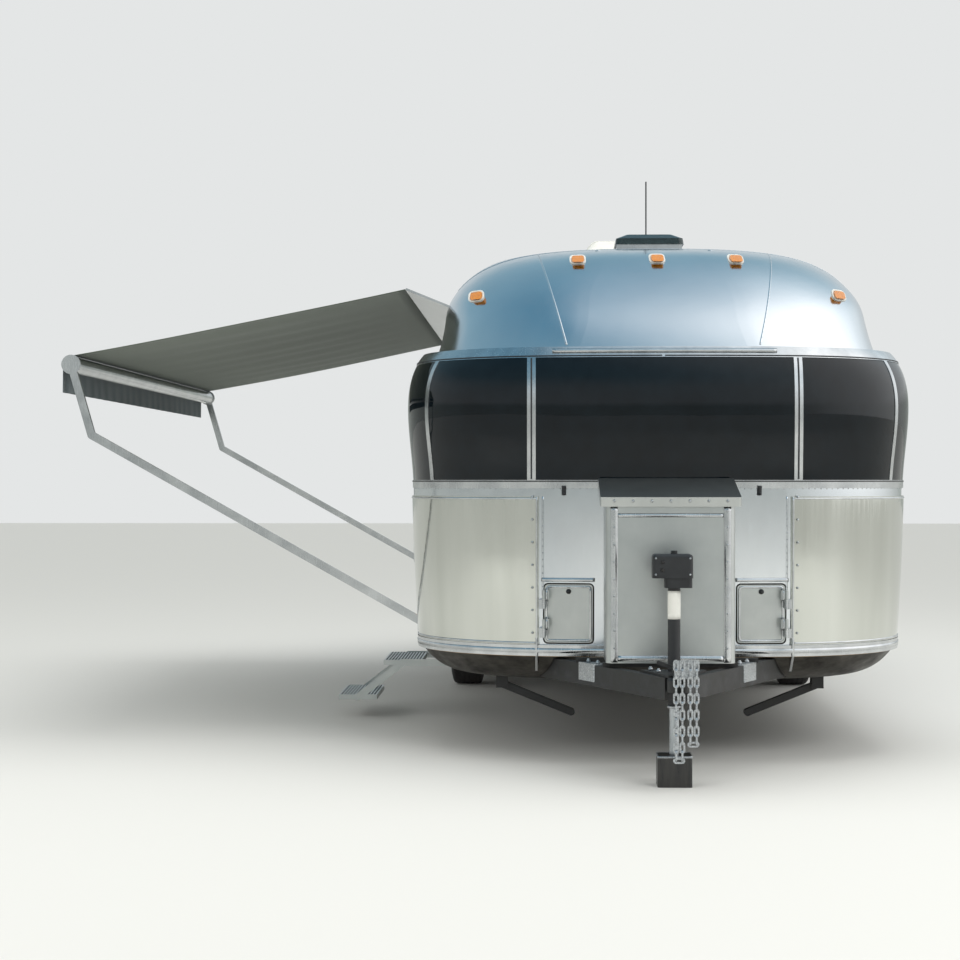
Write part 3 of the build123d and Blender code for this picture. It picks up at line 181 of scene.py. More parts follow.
def revolved(profile, centre, axis, turns, ring=False):
    """Surface of revolution: point = centre + along * axis + radius * (cos t * u + sin t * v), closed
    to the axis behind its last point, or on itself where it is a ring."""
    axis = unit(np.array(axis, float))
    profile = list(profile) if ring else list(profile) + [(0.0, profile[-1][1])]
    u = unit(np.cross(axis, (0.0, 0.0, 1.0) if abs(axis[2]) < 0.9 else (1.0, 0.0, 0.0)))
    v = np.cross(axis, u)
    t = np.linspace(0, 2 * np.pi, turns, endpoint=False)
    radius, along = np.array(profile, float).T
    around = np.cos(t)[:, None] * u + np.sin(t)[:, None] * v
    middle = np.array(centre, float) + along[:, None] * axis
    return middle + radius[:, None] * around[:, None], grid_faces(turns, len(radius), True, ring)


def directions(path):
    """Unit tangents along a path, by differences between neighbours."""
    return unit(np.gradient(np.asarray(path, float), axis=0))


def tube(path, radii, sides):
    """Round bar along a level path: point = path + radius * (cos t * side + sin t * over)."""
    path = np.asarray(path, float)
    along = directions(path)
    side = unit(np.cross(along, (0.0, 0.0, 1.0)))
    over = np.cross(side, along)
    t = np.linspace(0, 2 * np.pi, sides, endpoint=False)[None, :, None]
    points = path[:, None] + np.array(radii)[:, None, None] * (np.cos(t) * side[:, None]
                                                               + np.sin(t) * over[:, None])
    count = len(path)
    faces = grid_faces(count, sides, round_columns=True)[:, ::-1].tolist()
    faces.append(list(range(sides)))
    faces.append(list(range((count - 1) * sides, count * sides))[::-1])
    return points.reshape(-1, 3), faces


def strip(path, normals, profile):
    """A closed moulding: point = path + across * side + out * normal, for each pair of the profile."""
    path, normals = np.asarray(path, float), unit(np.asarray(normals, float))
    side = unit(np.cross(directions(path), normals))
    across, out = np.array(profile, float).T
    points = path[:, None] + across[None, :, None] * side[:, None] + out[None, :, None] * normals[:, None]
    count, sides = len(path), len(across)
    faces = grid_faces(count, sides, round_columns=True).tolist()
    faces.append(list(range(sides))[::-1])
    faces.append(list(range((count - 1) * sides, count * sides)))
    return points.reshape(-1, 3), faces


def flat_section(wide, narrow, high, foot=0.0):
    """Profile of a flat moulding: half its width at the foot and at the top, its height and its foot's."""
    return [(-wide, foot), (-narrow, high), (narrow, high), (wide, foot)]


def half_round(wide, high, count):
    """Profile of a rounded moulding: wide * cos a across and high * sin a out."""
    return [(wide * math.cos(a), high * math.sin(a)) for a in np.linspace(0, math.pi, count)]


# seams over the ribs, and those of the ends and of the front panel: the bare edge of the outer sheet
LAP = flat_section(0.013, 0.0125, 0.0014, -0.001)
SHEET_EDGE = flat_section(0.005, 0.0045, 0.0013, -0.001)


def joined(parts):
    """Several point and face pairs as one."""
    points, faces, start = [], [], 0
    for some_points, some_faces in parts:
        some_points = np.asarray(some_points, float).reshape(-1, 3)
        points.append(some_points)
        if isinstance(some_faces, np.ndarray):
            some_faces = some_faces.tolist()
        faces += [[index + start for index in face] for face in some_faces]
        start += len(some_points)
    return np.concatenate(points), faces


def domes(centres, normals, radius, height, sides):
    """Rivet heads: two rings and a crown, radius * cos a out from the centre and height * sin a up."""
    normals = unit(np.asarray(normals, float))
    centres = np.asarray(centres, float)
    helper = np.where(np.abs(normals[:, 2:3]) < 0.8, (0.0, 0.0, 1.0), (1.0, 0.0, 0.0))
    u = unit(np.cross(normals, helper))
    v = np.cross(normals, u)
    t = np.linspace(0, 2 * np.pi, sides, endpoint=False)
    ring = np.cos(t)[None, :, None] * u[:, None] + np.sin(t)[None, :, None] * v[:, None]
    low = centres[:, None] + radius * ring
    middle = centres[:, None] + 0.72 * radius * ring + 0.7 * height * normals[:, None]
    crown = (centres + height * normals)[:, None]
    points = np.concatenate([low, middle, crown], 1)
    k = np.arange(sides)
    wall = np.stack([k, (k + 1) % sides, (k + 1) % sides + sides, k + sides], -1)
    cap = np.stack([k + sides, (k + 1) % sides + sides, np.full(sides, 2 * sides)], -1)
    step = (np.arange(len(centres)) * (2 * sides + 1))[:, None, None]
    faces = (wall[None] + step).reshape(-1, 4).tolist() + (cap[None] + step).reshape(-1, 3).tolist()
    faces += (k[::-1] + step[:, 0]).tolist()
    return points.reshape(-1, 3), faces


# Laying things on the solids

def tree_of(names):
    """A search tree over the meshes of some nodes."""
    points, faces, start = [], [], 0
    for name in names:
        mesh = frame["nodes"][name].data
        block = np.empty(len(mesh.vertices) * 3)
        mesh.vertices.foreach_get("co", block)
        points.append(block.reshape(-1, 3))
        faces += [[index + start for index in polygon.vertices] for polygon in mesh.polygons]
        start += len(mesh.vertices)
    return BVHTree.FromPolygons(np.concatenate(points).tolist(), faces)


def lay_on(tree, starts, heading, reach=100.0):
    """Where rays from the starts meet the tree, all heading one way or each its own: points, normals
    against the rays and which rays met it."""
    headings = np.broadcast_to(np.array(heading, float), starts.shape)
    hits = [tree.ray_cast(Vector(start), Vector(way), reach) for start, way in zip(starts, headings)]
    met = np.array([hit[0] is not None for hit in hits])
    points = np.array([tuple(hit[0]) if hit[0] else (0, 0, 0) for hit in hits])
    normals = np.array([tuple(hit[1]) if hit[0] else (0, 0, 1) for hit in hits])
    normals[np.einsum("ij,ij->i", normals, headings) > 0] *= -1
    return points, normals, met


def met_on(tree, starts, heading):
    """Points and normals of those rays alone that meet the tree."""
    points, normals, met = lay_on(tree, starts, heading)
    return points[met], normals[met]


def strip_on(tree, starts, heading, profile):
    """A closed moulding along the points where rays meet the tree."""
    return strip(*met_on(tree, starts, heading), profile)


def turned_on(tree, starts, heading, profile, turns):
    """A turned part on every point where rays meet the tree."""
    return [revolved(profile, point, normal, turns) for point, normal in zip(*met_on(tree, starts, heading))]


def rounded_loop(width, height, corner, count=120):
    """A rounded oblong: points at equal steps along its edge, centred on zero."""
    a = np.linspace(0, np.pi / 2, 16)
    arc = corner * np.stack([np.cos(a), np.sin(a)], -1)
    x, y = width / 2 - corner, height / 2 - corner
    parts = []
    for middle in ((x, y), (-x, y), (-x, -y), (x, -y)):
        parts.append(arc + middle)
        arc = arc @ np.array([[0, 1], [-1, 0]])
    loop = np.concatenate(parts + [parts[0][:1]])
    lengths = lengths_along(loop)
    return spaced(loop, lengths, np.linspace(0, lengths[-1], count))


def upright(x, low, high, count):
    """Starts of rays to the rear, one over the other between two heights."""
    return rows_of(x, 0.0, z_of(np.linspace(low, high, count)))


def level(start, stop, height, count):
    """Starts of rays to the rear, side by side at a height."""
    return rows_of(np.linspace(start, stop, count), 0.0, z_of(height))


def end_loop(x, y, height, loop):
    """A loop that stands across the body, as starts of rays."""
    return rows_of(x + loop[:, 0], y, z_of(height) + loop[:, 1])


def side_loop(side, along, height, loop):
    """A loop that stands along the body beside one of its walls, as starts of rays."""
    return rows_of(side * BESIDE, along + loop[:, 0], z_of(height) + loop[:, 1])


def plan_loop(count):
    """The body's plan as a rounded oblong: points and outward normals, in equal steps from the front."""
    half, front, rear, corner = PLAN
    x, low, high = half - corner, front + corner, rear - corner
    a = np.linspace(-np.pi / 2, 0, 60)
    arc = corner * np.stack([np.cos(a), np.sin(a)], -1)
    parts = [[(0.0, front)]]
    for middle in ((x, low), (x, high), (-x, high), (-x, low)):
        parts.append(arc + middle)
        arc = arc @ np.array([[0, 1], [-1, 0]])
    loop = np.concatenate(parts + parts[:1])
    lengths = lengths_along(loop)
    points = spaced(loop, lengths, np.linspace(0, lengths[-1], count, endpoint=False))
    ahead = np.roll(points, -1, 0) - np.roll(points, 1, 0)
    return points, unit(np.stack([ahead[:, 1], -ahead[:, 0]], -1))


def round_body(tree, height, count=1400):
    """Points and normals on the skin all round at a height, by rays from outside, square to the plan."""
    points, normals = plan_loop(count)
    outward = rows_of(*normals.T, 0.0)
    clear, reach = 0.6, 1.6
    return lay_on(tree, rows_of(*points.T, z_of(height)) + clear * outward, -outward, reach)


def front_strips(tree, height, profile):
    """Mouldings round the body's front at a height, as far back as its window band reaches."""
    points, normals, met = round_body(tree, height)
    return [strip(points[run], normals[run], profile) for run in runs_of(met & (points[:, 1] < BAND_END))]


# Materials

def linear(code):
    """A colour for a shader from an sRGB hex code."""
    channels = [int(code[i:i + 2], 16) / 255 for i in (1, 3, 5)]
    return tuple(c / 12.92 if c <= 0.04045 else ((c + 0.055) / 1.055) ** 2.4 for c in channels) + (1.0,)


def add_node(tree, kind, values=None, links=None, **settings):
    """Add a shader node with its settings, socket values and incoming links."""
    node = tree.nodes.new(kind)
    for key, value in settings.items():
        setattr(node, key, value)
    for key, value in (values or {}).items():
        node.inputs[key].default_value = value
    for key, source in (links or {}).items():
        tree.links.new(source, node.inputs[key])
    return node


class Finish:
    """A material with one principled shader, and the nodes that vary it over object coordinates."""

    def __init__(self, name, **sockets):
        self.material = bpy.data.materials.new(name)
        self.material.use_nodes = True
        self.tree = self.material.node_tree
        self.tree.nodes.clear()
        values = {key.replace("_", " "): value for key, value in sockets.items()}
        self.shader = add_node(self.tree, "ShaderNodeBsdfPrincipled", values)
        add_node(self.tree, "ShaderNodeOutputMaterial", links={"Surface": self.shader.outputs["BSDF"]})
        self.place = add_node(self.tree, "ShaderNodeTexCoord").outputs["Object"]
        self.below = None

    def noise(self, scale, detail=3.0, rough=0.5, stretch=(1, 1, 1)):
        """Noise whose grain measures 1 / scale metres, stretched along the axes."""
        moved = add_node(self.tree, "ShaderNodeMapping", {"Scale": stretch}, {"Vector": self.place})
        return add_node(self.tree, "ShaderNodeTexNoise",
                        {"Scale": scale, "Detail": detail, "Roughness": rough},
                        {"Vector": moved.outputs["Vector"]}).outputs["Fac"]

    def cells(self, scale, feature="F1"):
        """Distance from random points 1 / scale metres apart."""
        return add_node(self.tree, "ShaderNodeTexVoronoi", {"Scale": scale}, {"Vector": self.place},
                        feature=feature).outputs["Distance"]

    def threads(self, pitch, across):
        """Threads a pitch apart in metres, one beside the other along an axis."""
        return add_node(self.tree, "ShaderNodeTexWave",
                        {"Scale": 2 * math.pi / pitch / 20, "Distortion": 0.4, "Detail": 1.0},
                        {"Vector": self.place}, bands_direction=across).outputs["Fac"]

    def spread(self, value, low, high, start=0.3, stop=0.7):
        """The value spread between two numbers."""
        return add_node(self.tree, "ShaderNodeMapRange", {"From Min": start, "From Max": stop,
                        "To Min": low, "To Max": high}, {"Value": value}).outputs["Result"]

    def blend(self, value, first, second, start=0.3, stop=0.7):
        """The value as a colour between two sRGB hex codes."""
        made = add_node(self.tree, "ShaderNodeValToRGB", links={"Fac": value})
        for point, place, code in zip(made.color_ramp.elements, (start, stop), (first, second)):
            point.position, point.color = place, linear(code)
        return made.outputs["Color"]

    def mix(self, first, second, factor):
        """Two colours mixed by a factor, which is a number or a socket."""
        made = add_node(self.tree, "ShaderNodeMix", links={6: first, 7: second}, data_type="RGBA")
        if isinstance(factor, float):
            made.inputs["Factor"].default_value = factor
        else:
            self.tree.links.new(factor, made.inputs["Factor"])
        return made.outputs[2]

    def drive(self, socket, source):
        """Link a source into a socket of the shader."""
        self.tree.links.new(source, self.shader.inputs[socket])

    def colour(self, value, first, second, start=0.3, stop=0.7):
        """Vary the base colour between two sRGB hex codes."""
        self.drive("Base Color", self.blend(value, first, second, start, stop))

    def rough(self, value, low, high, start=0.3, stop=0.7):
        """Vary the roughness between two numbers."""
        self.drive("Roughness", self.spread(value, low, high, start, stop))

    def bump(self, height, depth):
        """Add bump of a real depth in metres, on top of what is there."""
        links = {"Height": height}
        if self.below is not None:
            links["Normal"] = self.below
        made = add_node(self.tree, "ShaderNodeBump", {"Distance": depth, "Strength": 1.0}, links)
        self.below = made.outputs["Normal"]
        self.drive("Normal", self.below)


def polished_aluminium_sheet():
    """Clad aluminium sheet, polished by wheel: near mirror, slightly wavy between its ribs."""
    sheet = Finish("polished_aluminium_sheet", Metallic=1.0)
    sheet.colour(sheet.noise(0.9), "#C3C9CE", "#DDE1E4")
    # polishing swirls 60 mm across
    sheet.rough(sheet.noise(16.0, 4.0, 0.6, (1, 1, 0.35)), 0.13, 0.21)
    # the sheet pants between its ribs, in waves about 0.6 m long, and has a fine grain drawn at 4 mm
    sheet.bump(sheet.noise(1.7, 0.0, 0.4, (1, 1, 0.8)), 0.0018)
    sheet.bump(sheet.noise(260.0, 2.0, 0.5, (1, 1, 0.12)), 0.00002)
    return sheet.material


def satin_aluminium_sheet():
    """Mill finished aluminium sheet, lightly weathered: soft grey sheen with rolled streaks."""
    sheet = Finish("satin_aluminium_sheet", Metallic=1.0)
    sheet.colour(sheet.noise(5.0, 5.0, 0.6), "#AFB3B2", "#C2C5C3", 0.2, 0.8)
    rolled = sheet.noise(120.0, 3.0, 0.6, (1, 1, 0.05))
    sheet.rough(rolled, 0.30, 0.40)
    sheet.bump(rolled, 0.00002)
    return sheet.material


def anodised_trim():
    """Extruded and anodised aluminium: even silver with die lines along it."""
    trim = Finish("anodised_trim", Metallic=1.0)
    trim.colour(trim.noise(9.0, 4.0), "#B5B8BA", "#D2D4D5")
    lines = trim.noise(240.0, 2.0, 0.5, (1, 1, 0.04))
    trim.rough(lines, 0.2, 0.28)
    trim.bump(lines, 0.000012)
    return trim.material


def chassis_paint():
    """Black chassis enamel over welded steel: dull gloss and road dust, orange peel 3 mm across."""
    paint = Finish("chassis_paint", Metallic=0.0)
    dust = paint.noise(7.0, 6.0, 0.65)
    paint.colour(dust, "#141517", "#34332F", 0.42, 0.78)
    paint.rough(dust, 0.34, 0.72)
    paint.bump(paint.noise(330.0, 2.0), 0.00012)
    return paint.material


def zinc_steel():
    """Bright zinc plating on steel: pale blue-grey spangle, duller in patches."""
    zinc = Finish("zinc_steel", Metallic=1.0)
    spangle = zinc.cells(140.0)
    zinc.colour(spangle, "#8B8F93", "#C3C6C8", 0.1, 0.7)
    zinc.rough(zinc.noise(40.0, 4.0), 0.24, 0.5)
    zinc.bump(spangle, 0.00006)
    return zinc.material


def polished_stainless():
    """Stainless stone guard, bright annealed: a clear mirror with faint upright draw lines."""
    guard = Finish("polished_stainless", Metallic=1.0)
    # painted reflection: tall upright bands of lighter and darker tone in the base colour stand for the
    # streaks the guard mirrors
    guard.colour(guard.noise(4.0, 3.0, 0.5, (1, 1, 0.06)), "#C3C5BE", "#D8DAD4")
    draw = guard.noise(90.0, 3.0, 0.5, (1, 1, 0.02))
    guard.rough(draw, 0.05, 0.13)
    guard.bump(guard.noise(2.6, 0.0, 0.4, (1, 1, 0.04)), 0.0012)
    guard.bump(draw, 0.00005)
    return guard.material


def privacy_glass():
    """Dark toughened glass: deep neutral tint, clear gloss and a little dust."""
    glass = Finish("privacy_glass", IOR=1.5, Transmission_Weight=0.3, Specular_IOR_Level=0.24)
    dust = glass.noise(12.0, 6.0, 0.6)
    glass.colour(dust, "#091015", "#121B21", 0.3, 0.8)
    glass.rough(dust, 0.015, 0.07, 0.4, 0.8)
    glass.bump(glass.noise(2.4, 1.0), 0.0016)
    return glass.material


def tyre_rubber():
    """Black tyre compound: dull and slightly brown, with dust in its grain."""
    rubber = Finish("tyre_rubber", Metallic=0.0)
    dust = rubber.noise(22.0, 6.0, 0.65)
    rubber.colour(dust, "#17171A", "#3A3835", 0.35, 0.85)
    rubber.rough(dust, 0.62, 0.9)
    rubber.bump(rubber.noise(700.0, 2.0), 0.00012)
    return rubber.material


def machined_alloy():
    """Cast aluminium wheel with a machined, lacquered face: bright with a faint mottle."""
    alloy = Finish("machined_alloy", Metallic=1.0, Coat_Weight=0.35)
    alloy.colour(alloy.noise(14.0, 4.0), "#B4B6B8", "#DDDEDF")
    alloy.rough(alloy.noise(60.0, 4.0), 0.12, 0.26)
    alloy.bump(alloy.noise(420.0, 2.0), 0.00004)
    return alloy.material


def moulded_plastic(name, light, dark, rough=(0.42, 0.6), grain=520.0, coat=0.0):
    """Injection moulded ABS with a fine spark-eroded grain about 2 mm apart, or an even enamel with
    its orange peel."""
    plastic = Finish(name, Metallic=0.0, Coat_Weight=coat)
    haze = plastic.noise(11.0, 5.0, 0.6)
    plastic.colour(haze, dark, light)
    plastic.rough(haze, *rough)
    plastic.bump(plastic.noise(grain, 2.0), 0.00008)
    return plastic.material


def smoked_acrylic():
    """Smoked acrylic vent lid: dark grey-green, clear gloss, scuffed by weather."""
    acrylic = Finish("smoked_acrylic", IOR=1.49, Transmission_Weight=0.4)
    scuff = acrylic.noise(30.0, 6.0, 0.7)
    acrylic.colour(scuff, "#1D2B2B", "#37494A", 0.35, 0.8)
    acrylic.rough(scuff, 0.05, 0.25)
    acrylic.bump(acrylic.noise(60.0, 2.0), 0.0001)
    return acrylic.material


def lamp_lens(name, light, dark):
    """Moulded lamp lens: clear coloured acrylic with pillow optics about 5 mm apart."""
    lens = Finish(name, IOR=1.49, Roughness=0.22, Transmission_Weight=0.1, Coat_Weight=0.12,
                  Specular_IOR_Level=0.35)
    pillows = lens.cells(190.0, "SMOOTH_F1")
    lens.colour(pillows, light, dark, 0.1, 0.75)
    lens.bump(pillows, 0.0006)
    return lens.material


def awning_canvas(name, light, dark):
    """Woven acrylic awning canvas: matt, threads drawn 6 mm apart so that they show."""
    canvas = Finish(name, Metallic=0.0, Roughness=0.86, Sheen_Weight=0.25)
    weave = add_node(canvas.tree, "ShaderNodeMath", operation="MULTIPLY",
                     links={0: canvas.threads(0.006, "Y"), 1: canvas.threads(0.006, "X")}).outputs[0]
    faded = canvas.blend(canvas.noise(1.6, 5.0, 0.6), dark, light)
    woven = canvas.blend(weave, "#3B433C", "#8A948A", 0.1, 0.9)
    canvas.drive("Base Color", canvas.mix(faded, woven, 0.22))
    canvas.bump(weave, 0.0004)
    return canvas.material


def deck_plywood():
    """Birch plywood deck: pale grain along the boards, varnished thin."""
    deck = Finish("deck_plywood", Metallic=0.0)
    figure = deck.noise(30.0, 5.0, 0.6, (1, 0.06, 1))
    deck.colour(figure, "#7F6546", "#A98C63")
    deck.rough(figure, 0.45, 0.65)
    deck.bump(figure, 0.0002)
    return deck.material


def belly_painted_shade():
    """Aluminium belly pan, dull, its colour a patchy dark brown-grey that paints in the shade under the body.
    """
    sheet = Finish("belly_painted_shade", Metallic=0.75)
    shade_patches = sheet.noise(6.0, 6.0, 0.65, (1, 1, 2.5))
    # painted shade: the dark brown-grey patches stand for the shadow under the body
    sheet.colour(shade_patches, "#23211E", "#57544E", 0.3, 0.75)
    sheet.rough(shade_patches, 0.62, 0.36)
    sheet.bump(sheet.noise(90.0, 4.0), 0.0002)
    return sheet.material


def jack_steel():
    """Jack leg: the ram's ground and zinc plated tube above, the foot's black enamel below it."""
    leg = Finish("jack_steel")
    height = add_node(leg.tree, "ShaderNodeSeparateXYZ", links={"Vector": leg.place}).outputs["Z"]
    foot = z_of(0.142)
    bright = leg.spread(height, 0.0, 1.0, foot - 0.001, foot + 0.001)
    wear = leg.noise(60.0, 4.0, 0.6, (1, 1, 0.1))
    leg.drive("Base Color", leg.mix(leg.blend(wear, "#17181A", "#33322F"),
                                    leg.blend(wear, "#9A9FA3", "#C6C9CB"), bright))
    leg.drive("Metallic", bright)
    leg.rough(wear, 0.25, 0.45)
    leg.bump(wear, 0.00003)
    return leg.material


def make_finishes():
    """Every finish of the caravan, by the name of its material slot or of its use."""
    return {
        "aluminium_polished": polished_aluminium_sheet(),
        "aluminium_satin": satin_aluminium_sheet(),
        "aluminium_trim": anodised_trim(),
        "steel_black": chassis_paint(),
        "steel_bright": zinc_steel(),
        "stainless_guard": polished_stainless(),
        "glass_dark": privacy_glass(),
        "rubber_tyre": tyre_rubber(),
        "alloy_wheel": machined_alloy(),
        "plastic_black": moulded_plastic("black_abs_moulding", "#26282A", "#151618"),
        "plastic_smoked": smoked_acrylic(),
        "plastic_white": moulded_plastic("white_abs_moulding", "#DEDED8", "#CFCFC7", (0.3, 0.45), 520.0, 0.2),
        "lens_amber": lamp_lens("amber_acrylic_lens", "#E8930C", "#BE6C06"),
        "lens_red": lamp_lens("red_acrylic_lens", "#B8161A", "#7C0A0E"),
        "awning_canvas": awning_canvas("awning_canvas_green", "#626C5E", "#5A6456"),
        "valance_canvas": awning_canvas("awning_canvas_slate", "#62737B", "#42535C"),
        "deck_board": deck_plywood(),
        "belly_painted_shade": belly_painted_shade(),
        "jack_steel": jack_steel(),
        "bottle_paint": moulded_plastic("white_bottle_enamel", "#DADAD4", "#C7C7C0", (0.25, 0.4), 300.0, 0.3),
    }


# Sizes and colours that a user would change

class StageSettings(bpy.types.PropertyGroup):
    """The floor and the camera."""
    camera_ahead: FloatProperty(
        name="Camera ahead", description="How far the camera stands ahead of the coupler",
        default=9.6, subtype="DISTANCE", unit="LENGTH")
    camera_across: FloatProperty(
        name="Camera across", description="Camera place across, towards the road side",
        default=-0.6, subtype="DISTANCE", unit="LENGTH")
    camera_height: FloatProperty(
        name="Camera height", description="Camera height above the ground",
        default=1.38, subtype="DISTANCE", unit="LENGTH")
    floor_colour: FloatVectorProperty(
        name="Floor", description="Colour of the floor", subtype="COLOR",
        default=linear("#DEDEDA")[:3], min=0, max=1)


class SeamSettings(bpy.types.PropertyGroup):
    """Rivets of the skin."""
    rivet_radius: FloatProperty(
        name="Rivet radius", description="Radius of a buck rivet's head",
        default=0.0042, subtype="DISTANCE", unit="LENGTH")
    rivet_pitch: FloatProperty(
        name="Rivet pitch", description="Distance between rivets along a seam",
        default=0.032, subtype="DISTANCE", unit="LENGTH")


def studio_sky(scene):
    """Soft light: for the mirrors bright above and paler at the horizon, for matt things an even white,
    for the camera a plain pale grey."""
    world = bpy.data.worlds.new("studio")
    scene.world = world
    world.use_nodes = True
    sky = world.node_tree
    sky.nodes.clear()
    heading = add_node(sky, "ShaderNodeTexCoord").outputs["Generated"]
    rise = add_node(sky, "ShaderNodeSeparateXYZ", links={"Vector": heading}).outputs["Z"]
    tone = add_node(sky, "ShaderNodeValToRGB", links={"Fac": rise})
    stops = tone.color_ramp.elements
    stops[0].position, stops[0].color = 0.0, linear("#BCC2BD")
    stops[1].position, stops[1].color = 0.9, linear("#6FA3C0")
    for position, code in ((0.05, "#B6BDB8"), (0.10, "#E9EDEE"), (0.30, "#DCE8EE"), (0.5, "#9CC3D6")):
        stops.new(position).color = linear(code)
    # a broad glow high on the road side, as the polished skins mirror it
    towards = add_node(sky, "ShaderNodeVectorMath", {1: (0.80, -0.10, 0.59)}, {0: heading},
                       operation="DOT_PRODUCT").outputs["Value"]
    near = add_node(sky, "ShaderNodeMapRange", {"From Min": 0.25, "From Max": 1.0}, {"Value": towards},
                    interpolation_type="SMOOTHSTEP").outputs["Result"]
    glow = add_node(sky, "ShaderNodeMix", {7: linear("#FFFFFF")},
                    {"Factor": near, 6: tone.outputs["Color"]}, data_type="RGBA").outputs[2]
    power = add_node(sky, "ShaderNodeMapRange", {"To Min": 0.85, "To Max": 1.7},
                     {"Value": near}).outputs["Result"]
    mirrored = add_node(sky, "ShaderNodeBackground", links={"Color": glow, "Strength": power})
    even = add_node(sky, "ShaderNodeBackground", {"Color": linear("#F1F1EE"), "Strength": 0.95})
    seen = add_node(sky, "ShaderNodeBackground", {"Color": linear("#E4E6E6"), "Strength": 1.0})
    path = add_node(sky, "ShaderNodeLightPath").outputs
    lit = add_node(sky, "ShaderNodeMixShader",
                   links={0: path["Is Glossy Ray"], 1: even.outputs[0], 2: mirrored.outputs[0]})
    mixed = add_node(sky, "ShaderNodeMixShader",
                     links={0: path["Is Camera Ray"], 1: lit.outputs[0], 2: seen.outputs[0]})
    add_node(sky, "ShaderNodeOutputWorld", links={"Surface": mixed.outputs[0]})


def put(thing, name, spot, aim):
    """Place a lamp or a camera at a spot, aimed at another."""
    holder = bpy.data.objects.new(name, thing)
    holder.location = spot
    holder.rotation_mode = "QUATERNION"
    holder.rotation_quaternion = (Vector(aim) - holder.location).to_track_quat("-Z", "Y")
    bpy.context.scene.collection.objects.link(holder)
    return holder


class CaravanStage(bpy.types.Operator):
    """Floor, soft studio light and the camera at the photograph's viewing angle"""
    bl_idname = "caravan.stage"
    bl_label = "Stage"

    def execute(self, context):
        scene = context.scene
        settings = scene.caravan_stage
        scene.view_settings.view_transform = "Standard"
        mesh = bpy.data.meshes.new("floor")
        reach, ground = 60.0, z_of(0.0)
        mesh.from_pydata([(-reach, -reach, ground), (reach, -reach, ground), (reach, reach, ground),
                          (-reach, reach, ground)], [], [(0, 1, 2, 3)])
        floor = bpy.data.objects.new("floor", mesh)
        scene.collection.objects.link(floor)
        matt = Finish("pale_floor", Roughness=0.75)
        matt.shader.inputs["Base Color"].default_value = (*settings.floor_colour, 1.0)
        mesh.materials.append(matt.material)

        studio_sky(scene)
        for name, spot, aim, size, power in (
                ("key", (5.5, -7.0, 6.5), (0.0, 2.0, 0.8), 5.0, 420.0),
                ("fill", (-7.5, -5.0, 4.0), (-1.0, 3.0, 0.6), 5.0, 160.0),
                ("top", (0.0, 3.5, 8.0), (0.0, 4.0, 0.0), 7.0, 320.0)):
            lamp = bpy.data.lights.new(name, "AREA")
            lamp.size, lamp.energy = size, power
            put(lamp, name, spot, aim).visible_glossy = False

        lens = bpy.data.cameras.new("camera")
        lens.lens, lens.sensor_width = 82.0, 36.0
        lens.clip_start, lens.clip_end = 0.1, 200.0
        # the photograph's camera looks level and slightly towards the kerb side
        place = (settings.camera_across, -settings.camera_ahead, z_of(settings.camera_height))
        scene.camera = put(lens, "camera", place, (-0.9192, 1.8, z_of(1.38)))
        return {"FINISHED"}


class CaravanFinishes(bpy.types.Operator):
    """Finish of every solid, by its material slot"""
    bl_idname = "caravan.finishes"
    bl_label = "Finishes"

    def execute(self, context):
        FINISH.update(make_finishes())
        # two nodes look unlike the other solids of their slots: the belly pan's finish is painted shade, and
        # the jack's ram has its own two metals
        own = {"belly_pan": "belly_painted_shade", "jack_ram": "jack_steel"}
        for part in frame["record"]["subparts"]:
            solid = frame["nodes"][part["node"]]
            solid.data.materials.clear()
            solid.data.materials.append(FINISH[own.get(part["node"], part["material_slot"])])
        return {"FINISHED"}


def seam_paths():
    """Rivet seams as rays: their starts and heading."""
    rays = []
    s = np.linspace(0, 1, 60)
    for side in (1, -1):
        # edges of the centre panel of the dome, and of the rear cap's
        for y, heading in ((0.0, TO_REAR), (BEHIND, TO_FRONT)):
            rays.append((rows_of(side * (0.475 + 0.145 * s), y, z_of(2.045 + 0.555 * s)), heading))
    # ribs of the shell, then joints of its ends: place along it, half width over the roof, foot on the
    # walls and number of rays up these
    ribs = [(y, 1.0, 0.60, 110) for y in np.arange(2.56, REAR_JOINT, 0.61)]
    for y, half, foot, count in ribs + [(FRONT_JOINT, 1.05, 2.05, 100), (REAR_JOINT, 1.05, 0.60, 100)]:
        rays.append((rows_of(np.linspace(-half, half, 90), y, ABOVE), DOWN))
        z = z_of(np.linspace(foot, 2.33, count))
        for side in (1, -1):
            rays.append((rows_of(side * BESIDE, y, z), (-side, 0.0, 0.0)))
    for x in (-0.30, 0.30):
        rays.append((rows_of(x, np.linspace(2.05, 7.7, 240), ABOVE), DOWN))
    for x in (-0.592, 0.592):
        rays.append((upright(x, 0.60, 1.30, 40), TO_REAR))
    return rays


